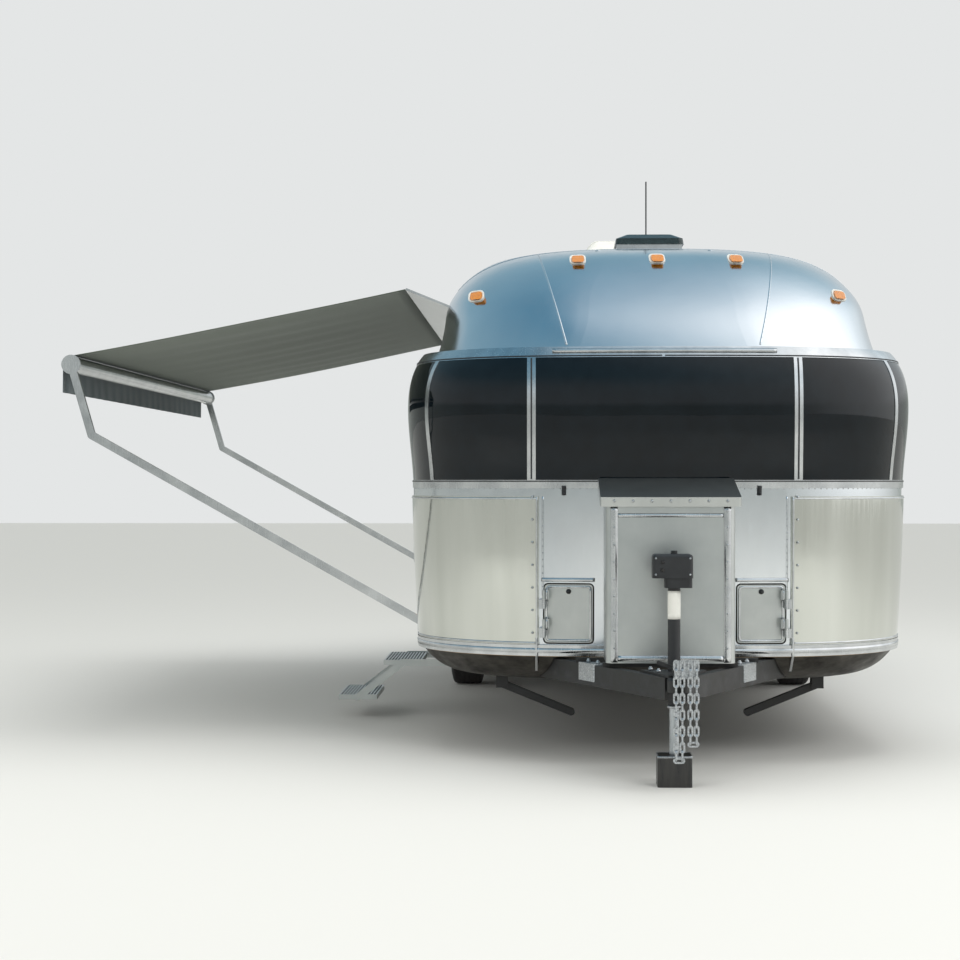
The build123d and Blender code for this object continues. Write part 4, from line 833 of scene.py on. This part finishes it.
class CaravanSeams(bpy.types.Operator):
    """Laps and rows of rivets over the ribs of the shell, and round the body"""
    bl_idname = "caravan.seams"
    bl_label = "Seams"

    def execute(self, context):
        settings = context.scene.caravan_seams
        skin, covers = tree_of(SKIN), tree_of(COVERS)
        heads, facing, laps = [], [], []

        def keep_clear(points, normals, met):
            """Drop what a frame, lamp or fitting covers, or what went through an opening."""
            covered = lay_on(covers, points + 0.10 * normals, -normals, 0.14)[2]
            x, y, z = points.T
            at_end = (y < FRONT_JOINT + 0.01) | (y > REAR_JOINT - 0.01)
            return met & ~covered & ((np.abs(x) > 1.0) | (z > z_of(2.35)) | at_end)

        for starts, heading in seam_paths():
            points, normals, met = lay_on(skin, starts, heading)
            for run in runs_of(keep_clear(points, normals, met)):
                path, out = points[run], unit(smoothed(normals[run]))
                lengths = lengths_along(path)
                if lengths[-1] < SHORTEST_SEAM:
                    continue
                laps.append(strip(path + LAP_LIFT * out, out, SHEET_EDGE if heading[1] else LAP))
                count = max(int(lengths[-1] / settings.rivet_pitch), 2)
                at = np.linspace(RIVET_MARGIN, lengths[-1] - RIVET_MARGIN, count)
                up = unit(spaced(out, lengths, at))
                heads.append(spaced(path, lengths, at) + LAP_TOP * up)
                facing.append(up)
        # rows round the body: two at the belt all round, the others behind the front
        belt = [(BELT_HEIGHT - 0.027, 0.0), (BELT_HEIGHT + 0.027, 0.0)]
        for height, from_y in [(0.600, 2.2)] + belt + [(2.285, 2.2)]:
            points, normals, met = round_body(skin, height, 900)
            for run in runs_of(keep_clear(points, normals, met) & (points[:, 1] > from_y)):
                lengths = lengths_along(points[run])
                if lengths[-1] < SHORTEST_ROW:
                    continue
                at = np.linspace(0.0, lengths[-1], int(lengths[-1] / settings.rivet_pitch))
                heads.append(spaced(points[run], lengths, at))
                facing.append(unit(spaced(normals[run], lengths, at)))
        rivets = domes(np.concatenate(heads), np.concatenate(facing), settings.rivet_radius, RIVET_RISE, 6)
        add_piece("skin_rivets", *rivets, "aluminium_trim")
        add_piece("skin_laps", *joined(laps), "aluminium_polished")
        return {"FINISHED"}


class CaravanBeltTrim(bpy.types.Operator):
    """Half-round moulding round the body at the belt, with its own length on the door"""
    bl_idname = "caravan.belt_trim"
    bl_label = "Belt trim"

    def execute(self, context):
        points, normals, met = round_body(tree_of(SKIN + ("entry_door",)), BELT_HEIGHT)
        x, y, _ = points.T
        # the doorway with the door's gaps, and the door alone
        at_door = (x < 0) & (y > 2.978) & (y < 3.660)
        on_door = (x < 0) & (y > 2.990) & (y < 3.645)
        for name, mask, body in (("belt_trim", (y > 2.155) & ~at_door & met, "caravan"),
                                 ("door_belt_trim", on_door & met, "entry_door")):
            parts = [strip(points[run], normals[run], half_round(0.011, 0.007, 9)) for run in runs_of(mask)]
            add_piece(name, *joined(parts), "aluminium_trim", body)
        # bright insert of the rub rail
        points, normals, met = round_body(tree_of(["lower_trim"]), 0.549)
        insert = flat_section(0.012, 0.011, 0.003)
        parts = [strip(points[run], normals[run], insert)
                 for run in runs_of(met & (np.abs(normals[:, 2]) < 0.5))]
        add_piece("rub_rail_insert", *joined(parts), "aluminium_trim")
        return {"FINISHED"}


def pulled_taut(points):
    """A path down the front drawn tight: at each height the least y of all chords between its points."""
    x, y, z = points.T
    a, b, k = np.meshgrid(*[np.arange(len(z))] * 3, indexing="ij")
    share = (z[k] - z[a]) / np.where(a == b, 1.0, z[b] - z[a])
    chords = np.where((a <= k) & (k <= b) & (a < b), y[a] + share * (y[b] - y[a]), np.inf)
    return rows_of(x, chords.min(axis=(0, 1)), z)


class CaravanGuardTrims(bpy.types.Operator):
    """Edge beads and screws of the stone guards, and the straps that hold their inner edges"""
    bl_idname = "caravan.guard_trims"
    bl_label = "Guard trims"

    def execute(self, context):
        guards = tree_of(["stone_guards"])
        lower = tree_of(["stone_guards", "lower_trim", "belly_pan"])
        bead = half_round(0.005, 0.004, 7)
        beads, screws, facing, straps = [], [], [], []
        for side in (1, -1):
            points, normals = met_on(guards, upright(side * GUARD_EDGE, 0.580, 1.298, 40), TO_REAR)
            beads.append(strip(points, normals, bead))
            screws.append(points[3::6] + (side * 0.022, 0, 0))
            facing.append(normals[3::6])
            path = pulled_taut(met_on(lower, upright(side * GUARD_EDGE, 0.610, 0.440, 60), TO_REAR)[0])
            straps.append(strip(path, np.tile(TO_FRONT, (len(path), 1)),
                                flat_section(0.007, 0.007, 0.003, -0.0005)))
        for height in (0.586, 1.290):
            beads += front_strips(guards, height, bead)
        add_piece("guard_straps", *joined(straps), "aluminium_trim")
        add_piece("guard_edge_beads", *joined(beads), "aluminium_trim")
        add_piece("guard_screws", *domes(np.concatenate(screws), np.concatenate(facing), 0.006, 0.003, 10),
                  "steel_bright")
        return {"FINISHED"}


class CaravanWindowFittings(bpy.types.Operator):
    """Rubber gaskets and screws of the side, rear and door windows, and the band's glazing beads"""
    bl_idname = "caravan.window_fittings"
    bl_label = "Window fittings"

    def execute(self, context):
        frames = tree_of(["window_frames"])
        gasket = flat_section(0.004, 0.003, 0.004)
        gaskets, screws, facing = [], [], []
        for side, along, width, sill, head in SIDE_WINDOWS:
            for grow, screwed in ((0.006, False), (0.017, True)):
                loop = rounded_loop(width + 2 * grow, head - sill + 2 * grow, 0.07 + grow)
                starts = side_loop(side, along, (sill + head) / 2, loop)
                points, normals = met_on(frames, starts, (-side, 0.0, 0.0))
                outer = np.abs(points[:, 0]) > 1.1
                points, normals = points[outer], normals[outer]
                if screwed:
                    screws.append(points[::9])
                    facing.append(normals[::9])
                else:
                    gaskets.append(strip(points, normals, gasket))
        rear = end_loop(0.0, BEHIND, 1.6925, rounded_loop(0.912, 0.557, 0.086))
        gaskets.append(strip_on(frames, rear, TO_FRONT, gasket))
        add_piece("window_gaskets", *joined(gaskets), "plastic_black")
        add_piece("window_screws", *domes(np.concatenate(screws), np.concatenate(facing), 0.004, 0.002, 8),
                  "steel_bright")

        pane = side_loop(-1, DOOR_MIDDLE, 1.63, rounded_loop(0.43, 0.63, 0.075))
        rim = [(-0.016, 0.0), (-0.015, 0.006), (0.013, 0.007), (0.016, 0.0)]
        add_piece("door_window_rim", *strip_on(tree_of(["entry_door"]), pane, (1.0, 0.0, 0.0), rim),
                  "aluminium_trim", "entry_door")

        band = tree_of(["front_window_frame"])
        beads = []
        for x in (-0.648, 0.648):
            beads.append(strip_on(band, upright(x, 1.384, 1.974, 30), TO_REAR,
                                  flat_section(0.004, 0.0035, 0.003)))
        for height in (1.374, 1.985):
            beads += front_strips(band, height, flat_section(0.003, 0.0025, 0.0025))
        add_piece("band_glazing_beads", *joined(beads), "plastic_black")
        # bright cap over the centre pane
        cap = [(-0.012, 0.0), (-0.010, 0.010), (0.006, 0.014), (0.012, 0.0)]
        add_piece("band_drip_cap", *strip_on(band, level(-0.545, 0.545, 2.008, 60), TO_REAR, cap),
                  "aluminium_trim")
        return {"FINISHED"}


def tyre_surface(centre, sign):
    """Tyre: a closed profile of (across, radius) turned about the axle by t. On the tread the radius is
    less by the deepest of grooves, 0.0065 * exp(-((across - x) / 0.0026) ** 4), bars at the shoulders, where
    cos(72 t + 260 |across|) > 0.72, and sipes between, where cos(96 t + 180 across) > 0.86."""
    outer = [(-0.094, 0.190), (-0.101, 0.199), (-0.107, 0.214), (-0.1108, 0.236), (-0.1113, 0.262),
             (-0.109, 0.288), (-0.1045, 0.311), (-0.0995, 0.330), (-0.0935, 0.344), (-0.0855, 0.3525)]
    tread = [(x, 0.3585 - 0.0035 * (x / 0.082) ** 2) for x in np.linspace(-0.080, 0.080, 41)]
    profile = np.array(outer + tread + [(-x, r) for x, r in outer[::-1]] + [(0.0, 0.1902)])
    turns = 288
    across, t = np.meshgrid(profile[:, 0], np.linspace(0, 2 * np.pi, turns, endpoint=False))
    wide = np.abs(across)
    groove = 0.0065 * sum(np.exp(-((across - x) / 0.0026) ** 4) for x in (-0.048, -0.016, 0.016, 0.048))
    bars = 0.0045 * ((wide > 0.05) & (wide < 0.092) & (np.cos(72 * t + 260 * wide) > 0.72))
    sipes = 0.0022 * ((wide < 0.05) & (np.cos(96 * t + 180 * across) > 0.86))
    deepest = np.maximum(np.maximum(groove, bars), sipes)
    radius = profile[:, 1] - np.where(profile[:, 1] > 0.349, deepest, 0.0)
    points = rows_of(sign * across, radius * np.cos(t), radius * np.sin(t))
    return points + np.array(centre), grid_faces(turns, len(profile), True, True)


class CaravanWheels(bpy.types.Operator):
    """Tyres with tread, polished wheels with their nuts, caps and valves"""
    bl_idname = "caravan.wheels"
    bl_label = "Wheels"

    def execute(self, context):
        cap = [(0.0, 0.079), (0.012, 0.0785), (0.030, 0.074), (0.043, 0.066), (0.047, 0.060),
               (0.048, 0.040)]
        lip = [(0.176, 0.1025), (0.1795, 0.107), (0.184, 0.1085), (0.1885, 0.105), (0.189, 0.098)]
        nut = [(0.0, 0.064), (0.006, 0.0635), (0.0095, 0.060), (0.0105, 0.040)]

        def on_wheel(centre, across, radius, angle):
            """A point of the wheel by its polar place."""
            return np.array(centre) + (across, radius * math.cos(angle), radius * math.sin(angle))

        for name, centre, sign in WHEELS:
            body = "wheel_" + name
            points, faces = tyre_surface(centre, sign)
            if sign > 0:
                faces = faces[:, ::-1]
            tyre = add_piece("tyre_tread_" + name, points, faces, "rubber_tyre", body)
            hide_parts("tyre_" + name)
            axis = (sign, 0, 0)
            turned = [revolved(cap, centre, axis, 48), revolved(lip, centre, axis, 96, True)]
            for k in range(6):
                turned.append(revolved(nut, on_wheel(centre, 0, 0.070, k * math.pi / 3), axis, 6))
            add_piece("wheel_bright_" + name, *joined(turned), "alloy_wheel", body)
            stem = [on_wheel(centre, sign * out, 0.160, 0.6) for out in (0.070, 0.082, 0.098)]
            add_piece("valve_" + name, *tube(stem, [0.0035, 0.0045, 0.003], 10), "plastic_black", body)
        return {"FINISHED"}


# the awning along the body, the middle height of its roller and the thickness of its cloth
AWNING_FRONT, AWNING_LENGTH, ROLLER_HEIGHT, CLOTH = 2.080, 4.770, 2.000, 0.0015
# x and z of the canvas at the rail and at the roller, and x of the valance
AT_RAIL = np.array((-1.3283, z_of(2.400)))
AT_ROLLER = np.array((-3.120, z_of(ROLLER_HEIGHT) + 0.0482))
VALANCE_X, VALANCE_DROP = -3.1672, 0.150


def canvas_surface(along, down):
    """Stretched sheet, a along the body and b from rail to roller: straight lines between the two, lower
    by a sag of 0.064 b (1 - b) (0.6 + 0.4 (1 - (2 a - 1) ** 6)), and tension waves of
    (0.004 sin(18 pi a) sqrt(sin(pi b)) + 0.003 sin(6.6 pi a + 4 b)) sin(pi b)."""
    a, b = np.meshgrid(np.linspace(0, 1, along), np.linspace(0, 1, down), indexing="ij")
    sag = 0.064 * b * (1 - b) * (0.6 + 0.4 * (1 - (2 * a - 1) ** 6))
    wave = 0.004 * np.sin(18 * np.pi * a) * np.sin(np.pi * b) ** 0.5
    wave = (wave + 0.003 * np.sin(6.6 * np.pi * a + 4 * b)) * np.sin(np.pi * b)
    x, z = [start + (stop - start) * b for start, stop in zip(AT_RAIL, AT_ROLLER)]
    return rows_of(x, AWNING_FRONT + AWNING_LENGTH * a, z - sag + wave), grid_faces(along, down)[:, ::-1]


def valance_surface(along, down):
    """Hung sheet, a along the body and b downwards, in folds of 0.004 b sin(44 pi a + 0.6 sin(10 pi a))."""
    a, b = np.meshgrid(np.linspace(0, 1, along), np.linspace(0, 1, down), indexing="ij")
    fold = 0.004 * b * np.sin(2 * np.pi * 22 * a + 0.6 * np.sin(2 * np.pi * 5 * a))
    points = rows_of(VALANCE_X - fold * 0.6 - 0.002 * b, AWNING_FRONT + AWNING_LENGTH * a,
                     z_of(ROLLER_HEIGHT) - VALANCE_DROP * b)
    return points, grid_faces(along, down)


class CaravanAwning(bpy.types.Operator):
    """The awning's stretched canvas and its valance"""
    bl_idname = "caravan.awning"
    bl_label = "Awning"

    def execute(self, context):
        canvas = add_piece("awning_canvas_sheet", *canvas_surface(90, 30), "awning_canvas")
        thicken(canvas, CLOTH, 0.0)
        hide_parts("awning_fabric")
        valance = add_piece("awning_valance_sheet", *valance_surface(360, 14), "valance_canvas",
                            slot="awning_canvas")
        thicken(valance, CLOTH, 0.0)
        return {"FINISHED"}


class CaravanLamps(bpy.types.Operator):
    """Base rims of the amber lamps and bright rims of the red ones"""
    bl_idname = "caravan.lamps"
    bl_label = "Lamps"

    def execute(self, context):
        dome, rear = tree_of(["front_dome", "roof_panel"]), tree_of(["rear_cap"])
        edge = [(-0.006, 0.0), (-0.005, 0.006), (0.004, 0.007), (0.006, 0.0)]
        loop = rounded_loop(0.074, 0.056, 0.018, 60)
        spots = ((-0.410, 2.528), (0.0, 2.528), (0.410, 2.528), (-0.937, 2.333), (0.937, 2.333))
        rims = [strip_on(dome, end_loop(x, 0.0, height, loop), TO_REAR, edge) for x, height in spots]
        add_piece("marker_lamp_rims", *joined(rims), "plastic_white")
        edge = [(-0.009, 0.0), (-0.006, 0.009), (0.005, 0.010), (0.009, 0.0)]
        loop = rounded_loop(0.152, 0.140, 0.068, 80)
        rims = [strip_on(rear, end_loop(x, BEHIND, 0.900, loop), TO_FRONT, edge) for x in (-0.980, 0.980)]
        add_piece("tail_lamp_rims", *joined(rims), "aluminium_trim")
        return {"FINISHED"}


class CaravanGasBoxFittings(bpy.types.Operator):
    """Rivets and strips of the gas box"""
    bl_idname = "caravan.gas_box_fittings"
    bl_label = "Gas box fittings"

    def execute(self, context):
        box, lid = tree_of(["gas_box"]), tree_of(["gas_box_lid"])
        post = 0.262
        rivets = domes(*met_on(lid, level(-post, post, 1.283, 7), TO_REAR), 0.0075, 0.004, 12)
        add_piece("gas_lid_rivets", *rivets, "steel_bright", "gas_box_lid")
        strips = []
        for x in (post, -post):
            strips.append(strip_on(box, upright(x, 0.534, 1.262, 30), TO_REAR,
                                   flat_section(0.017, 0.016, 0.003)))
        for height, wide in ((1.216, 0.009), (0.552, 0.013)):
            strips.append(strip_on(box, level(-0.246, 0.246, height, 30), TO_REAR,
                                   flat_section(wide, wide, 0.002)))
        add_piece("gas_box_strips", *joined(strips), "aluminium_trim")
        column = np.linspace(0.60, 1.24, 9)
        spots = rows_of(np.repeat((-post, post), len(column)), 0.0, z_of(np.tile(column, 2)))
        points, normals = met_on(box, spots, TO_REAR)
        add_piece("gas_box_rivets", *domes(points - (0, 0.003, 0), normals, 0.005, 0.0025, 8), "steel_bright")
        return {"FINISHED"}


class CaravanHatchFittings(bpy.types.Operator):
    """Edge mouldings and latches of the two front hatches, and the drip bars over them"""
    bl_idname = "caravan.hatch_fittings"
    bl_label = "Hatch fittings"

    def execute(self, context):
        latch = [(0.0, 0.016), (0.008, 0.0155), (0.011, 0.011), (0.013, 0.0)]
        panel = tree_of(["front_lower_panel"])
        bars = []
        for side, name in ((1, "front_hatch_road"), (-1, "front_hatch_kerb")):
            hatch = tree_of([name])
            middle = side * HATCH_MIDDLE
            loop = end_loop(middle, 0.0, 0.730, rounded_loop(0.213, 0.262, 0.012))
            edge = strip_on(hatch, loop, TO_REAR, flat_section(0.006, 0.0045, 0.003))
            add_piece(name + "_moulding", *edge, "aluminium_trim", name)
            spot = np.array([[middle, 0.0, z_of(0.838)]])
            add_piece(name + "_latch", *joined(turned_on(hatch, spot, TO_REAR, latch, 24)), "plastic_black",
                      name)
            bars.append(strip_on(panel, level(side * 0.340, side * 0.598, 0.895, 24), TO_REAR,
                                 flat_section(0.010, 0.008, 0.010)))
        add_piece("hatch_drip_bars", *joined(bars), "aluminium_trim")
        return {"FINISHED"}


def sleeve_surface(count, rows):
    """Sleeve of the jack's tube, open at the rear: point = (r sin t, place - r cos t, z), t to 84 degrees
    on both sides."""
    r = 0.0298
    t, z = np.meshgrid(np.radians(np.linspace(-84, 84, count)), z_of(np.linspace(0.752, 0.880, rows)),
                       indexing="ij")
    return rows_of(r * np.sin(t), JACK_PLACE - r * np.cos(t), z), grid_faces(count, rows)[:, ::-1]


class CaravanJackFittings(bpy.types.Operator):
    """Head cover screws, switch boots, pale sleeve, collar and foot edge of the nose jack"""
    bl_idname = "caravan.jack_fittings"
    bl_label = "Jack fittings"

    def execute(self, context):
        thicken(add_piece("jack_sleeve", *sleeve_surface(28, 8), "plastic_white"), 0.0012, -1.0)
        post = tree_of(["jack_post"])
        corners = np.array([(x, 0.0, z_of(height)) for height in (0.955, 1.028) for x in (-0.085, 0.069)])
        add_piece("jack_screws", *domes(*met_on(post, corners, TO_REAR), 0.005, 0.0025, 10), "steel_bright")
        switches = np.array([(-0.055, 0.0, z_of(height)) for height in (1.010, 0.975)])
        boot = [(0.0, 0.010), (0.005, 0.0095), (0.007, 0.006), (0.009, 0.0)]
        add_piece("jack_switch_boots", *joined(turned_on(post, switches, TO_REAR, boot, 20)), "rubber_tyre")
        # worn bright edge round the top of the foot
        loop = rounded_loop(0.155, 0.155, 0.008, 97)
        path = rows_of(loop[:, 0], JACK_PLACE + loop[:, 1], z_of(0.140))
        edge = strip(path, np.tile((0.0, 0.0, 1.0), (len(path), 1)),
                     [(-0.004, -0.001), (-0.004, 0.0012), (0.0012, 0.0012), (0.0012, -0.009)])
        add_piece("jack_foot_edge", *edge, "steel_bright", "jack_ram")
        collar = [(0.0225, 0.012), (0.030, 0.012), (0.032, 0.008), (0.032, 0.0), (0.0290, 0.0)]
        add_piece("jack_collar", *revolved(collar, (0.0, JACK_PLACE, z_of(0.351)), (0, 0, 1), 48, True),
                  "steel_bright")
        return {"FINISHED"}


class CaravanDoorFittings(bpy.types.Operator):
    """Edge moulding of the door and the keyholes of its lock"""
    bl_idname = "caravan.door_fittings"
    bl_label = "Door fittings"

    def execute(self, context):
        inwards = (1.0, 0.0, 0.0)
        loop = side_loop(-1, DOOR_MIDDLE, 1.4075, rounded_loop(0.640, 1.585, 0.078, 240))
        edge = strip_on(tree_of(["entry_door"]), loop, inwards, flat_section(0.009, 0.008, 0.003))
        add_piece("door_edge_moulding", *edge, "aluminium_trim", "entry_door")
        spots = np.array([(-BESIDE, 3.059, z_of(height)) for height in (1.215, 1.145)])
        key = [(0.0, 0.003), (0.008, 0.003), (0.010, 0.0015), (0.0105, 0.0)]
        keyholes = turned_on(tree_of(["door_lock"]), spots, inwards, key, 24)
        add_piece("door_keyholes", *joined(keyholes), "steel_bright", "entry_door")
        return {"FINISHED"}


class CaravanStepFittings(bpy.types.Operator):
    """Grip ribs on the treads of the entry step"""
    bl_idname = "caravan.step_fittings"
    bl_label = "Step fittings"

    def execute(self, context):
        step = tree_of(["entry_step"])
        ribs = []
        for tread in (-1.400, -1.660):
            for x in tread + np.linspace(-0.095, 0.095, 12):
                path = rows_of(x, np.linspace(3.045, 3.605, 8), 0.2)
                ribs.append(strip_on(step, path, DOWN, flat_section(0.0035, 0.0025, 0.0028)))
        add_piece("step_grip_ribs", *joined(ribs), "plastic_black", "entry_step")
        return {"FINISHED"}


class CaravanRoofFittings(bpy.types.Operator):
    """Ribs of the air conditioner, and the screws of it and of the vents"""
    bl_idname = "caravan.roof_fittings"
    bl_label = "Roof fittings"

    def execute(self, context):
        gear, roof = tree_of(["air_conditioner"]), tree_of(["roof_panel"])
        ribs = [strip_on(gear, rows_of(np.linspace(-0.345, 0.345, 60), y, ABOVE), DOWN,
                         flat_section(0.006, 0.004, 0.004)) for y in (4.60, 5.40)]
        add_piece("conditioner_ribs", *joined(ribs), "plastic_white")
        screws = [met_on(gear, np.array([(x, y, ABOVE) for x in (-0.24, 0.24) for y in (4.70, 5.0, 5.30)]),
                         DOWN)]
        # flange screws round the vents
        loop = rounded_loop(0.404, 0.404, 0.03, 25)[:-1]
        for along in (2.720, 6.700):
            screws.append(met_on(roof, rows_of(loop[:, 0], along + loop[:, 1], ABOVE), DOWN))
        places, facing = [np.concatenate(rows) for rows in zip(*screws)]
        add_piece("roof_screws", *domes(places, facing, 0.006, 0.003, 10), "steel_bright")
        return {"FINISHED"}


def raised_cover(tree, side, along, height, wide, tall, corner):
    """A plate on the skin: loops of a rounded oblong shrunk by s towards its middle, raised by r(s), which is
    the rim's height and a little less within it."""
    rim, plate = 0.006, 0.0048
    loop = rounded_loop(wide, tall, corner, 97)[:-1]
    rings = []
    for shrink, lift in ((0.0, 0.0), (0.012, rim), (0.05, rim), (0.06, plate), (0.4, plate), (0.8, plate)):
        starts = side_loop(side, along, height, loop * (1 - shrink))
        rings.append(lay_on(tree, starts, (-side, 0.0, 0.0))[0] + lift * np.array((side, 0.0, 0.0)))
    faces = grid_faces(len(rings), len(loop), round_columns=True).tolist()
    last = (len(rings) - 1) * len(loop)
    faces += [list(range(last, last + len(loop))), list(range(len(loop)))]
    return np.concatenate(rings), faces


class CaravanServiceCovers(bpy.types.Operator):
    """Covers of lockers, inlets and sockets on the side walls, with their latches, and low side lamps"""
    bl_idname = "caravan.service_covers"
    bl_label = "Service covers"

    def execute(self, context):
        skin = tree_of(["side_wall_road", "side_wall_kerb"])
        gasket = flat_section(0.0035, 0.003, 0.0022)
        latch = [(0.0, 0.015), (0.007, 0.0145), (0.009, 0.011), (0.014, 0.0095), (0.016, 0.005)]
        lamp = [(0.0, 0.020), (0.014, 0.019), (0.024, 0.014), (0.029, 0.006), (0.031, 0.0)]
        covers, gaskets, latches, lamps = [], [], [], []
        for side, along, height, wide, tall, corner in SERVICE_COVERS:
            inwards = (-side, 0.0, 0.0)
            covers.append(raised_cover(skin, side, along, height, wide, tall, corner))
            loop = rounded_loop(wide + 0.008, tall + 0.008, corner + 0.004, 160)
            gaskets.append(strip_on(skin, side_loop(side, along, height, loop), inwards, gasket))
            places = along + wide * np.array((-0.3, 0.3) if wide > 0.4 else (0.0,))
            spots = rows_of(side * BESIDE, places, z_of(height) + 0.36 * tall)
            latches += turned_on(skin, spots, inwards, latch, 28)
        for side, along in ((1, 2.30), (-1, 2.30), (1, 7.38), (-1, 7.38)):
            spot = np.array([(side * BESIDE, along, z_of(0.700))])
            lamps += turned_on(skin, spot, (-side, 0.0, 0.0), lamp, 40)
        add_piece("service_covers", *joined(covers), "aluminium_satin")
        add_piece("service_gaskets", *joined(gaskets), "plastic_black")
        add_piece("service_latches", *joined(latches), "plastic_black")
        add_piece("side_lamps", *joined(lamps), "lens_amber")
        return {"FINISHED"}


class CaravanFrontCatches(bpy.types.Operator):
    """Two black catches on the belt, nuts of the coupler and of the drawbar's clamps"""
    bl_idname = "caravan.front_catches"
    bl_label = "Front catches"

    def execute(self, context):
        front = tree_of(["front_lower_panel", "front_window_frame"])
        plate = tree_of(["coupler", "drawbar_clamps"])
        section = [(-0.011, 0.0), (-0.010, 0.011), (-0.006, 0.014), (0.006, 0.014), (0.010, 0.011),
                   (0.011, 0.0)]
        button = [(0.0, 0.024), (0.006, 0.0235), (0.008, 0.019), (0.009, 0.0)]
        catches = []
        for x in (-0.490, 0.456):
            points, normals = met_on(front, upright(x, 1.306, 1.352, 14), TO_REAR)
            catches += [strip(points, normals, section), revolved(button, points[2], normals[2], 20)]
        add_piece("belt_catches", *joined(catches), "plastic_black")
        # the clamps' bolts stand along the drawbar's two arms
        slope = math.tan(math.radians(25))
        bolts = [(-0.075, 0.215), (0.075, 0.215), (-0.105, 0.320), (0.105, 0.320)]
        bolts += [(side * y * slope, y) for side in (1, -1) for y in (0.715, 0.805)]
        points, _, met = lay_on(plate, rows_of(*np.array(bolts).T, 0.30), DOWN)
        nut = [(0.0, 0.012), (0.009, 0.0118), (0.011, 0.010), (0.012, 0.0)]
        stud = [(0.0, 0.018), (0.0055, 0.0175), (0.006, 0.016), (0.006, 0.0)]
        nuts = []
        for point in points[met & (points[:, 2] < 0.08)]:
            nuts += [revolved(nut, point, (0, 0, 1), 6), revolved(stud, point, (0, 0, 1), 16)]
        add_piece("drawbar_nuts", *joined(nuts), "steel_bright")
        return {"FINISHED"}


class CARAVAN_PT_panel(bpy.types.Panel):
    """Lists the steps that dress the caravan"""
    bl_idname = "CARAVAN_PT_panel"
    bl_label = "Caravan"
    bl_space_type = "VIEW_3D"
    bl_region_type = "UI"
    bl_category = "Caravan"

    def draw(self, context):
        for settings in ("caravan_stage", "caravan_seams"):
            box = self.layout.box()
            group = getattr(context.scene, settings)
            for key in group.bl_rna.properties.keys():
                if key not in ("rna_type", "name"):
                    box.prop(group, key)
        for operator in STEPS:
            self.layout.operator(operator.bl_idname)


STEPS = (CaravanStage, CaravanFinishes, CaravanSeams, CaravanBeltTrim, CaravanGuardTrims,
         CaravanWindowFittings, CaravanWheels, CaravanAwning, CaravanLamps, CaravanGasBoxFittings,
         CaravanHatchFittings, CaravanJackFittings, CaravanDoorFittings, CaravanStepFittings,
         CaravanRoofFittings, CaravanServiceCovers, CaravanFrontCatches)
GROUPS = (("caravan_stage", StageSettings), ("caravan_seams", SeamSettings))


def register():
    for _, group in GROUPS:
        bpy.utils.register_class(group)
    for operator in STEPS + (CARAVAN_PT_panel,):
        bpy.utils.register_class(operator)
    for name, group in GROUPS:
        setattr(bpy.types.Scene, name, PointerProperty(type=group))


def unregister():
    for name, _ in GROUPS:
        delattr(bpy.types.Scene, name)
    for operator in STEPS + (CARAVAN_PT_panel,):
        bpy.utils.unregister_class(operator)
    for _, group in GROUPS:
        bpy.utils.unregister_class(group)


def main():
    """Register the add-on and run its steps in order."""
    register()
    for operator in STEPS:
        group, action = operator.bl_idname.split(".")
        getattr(getattr(bpy.ops, group), action)()


if __name__ == "__main__":
    main()
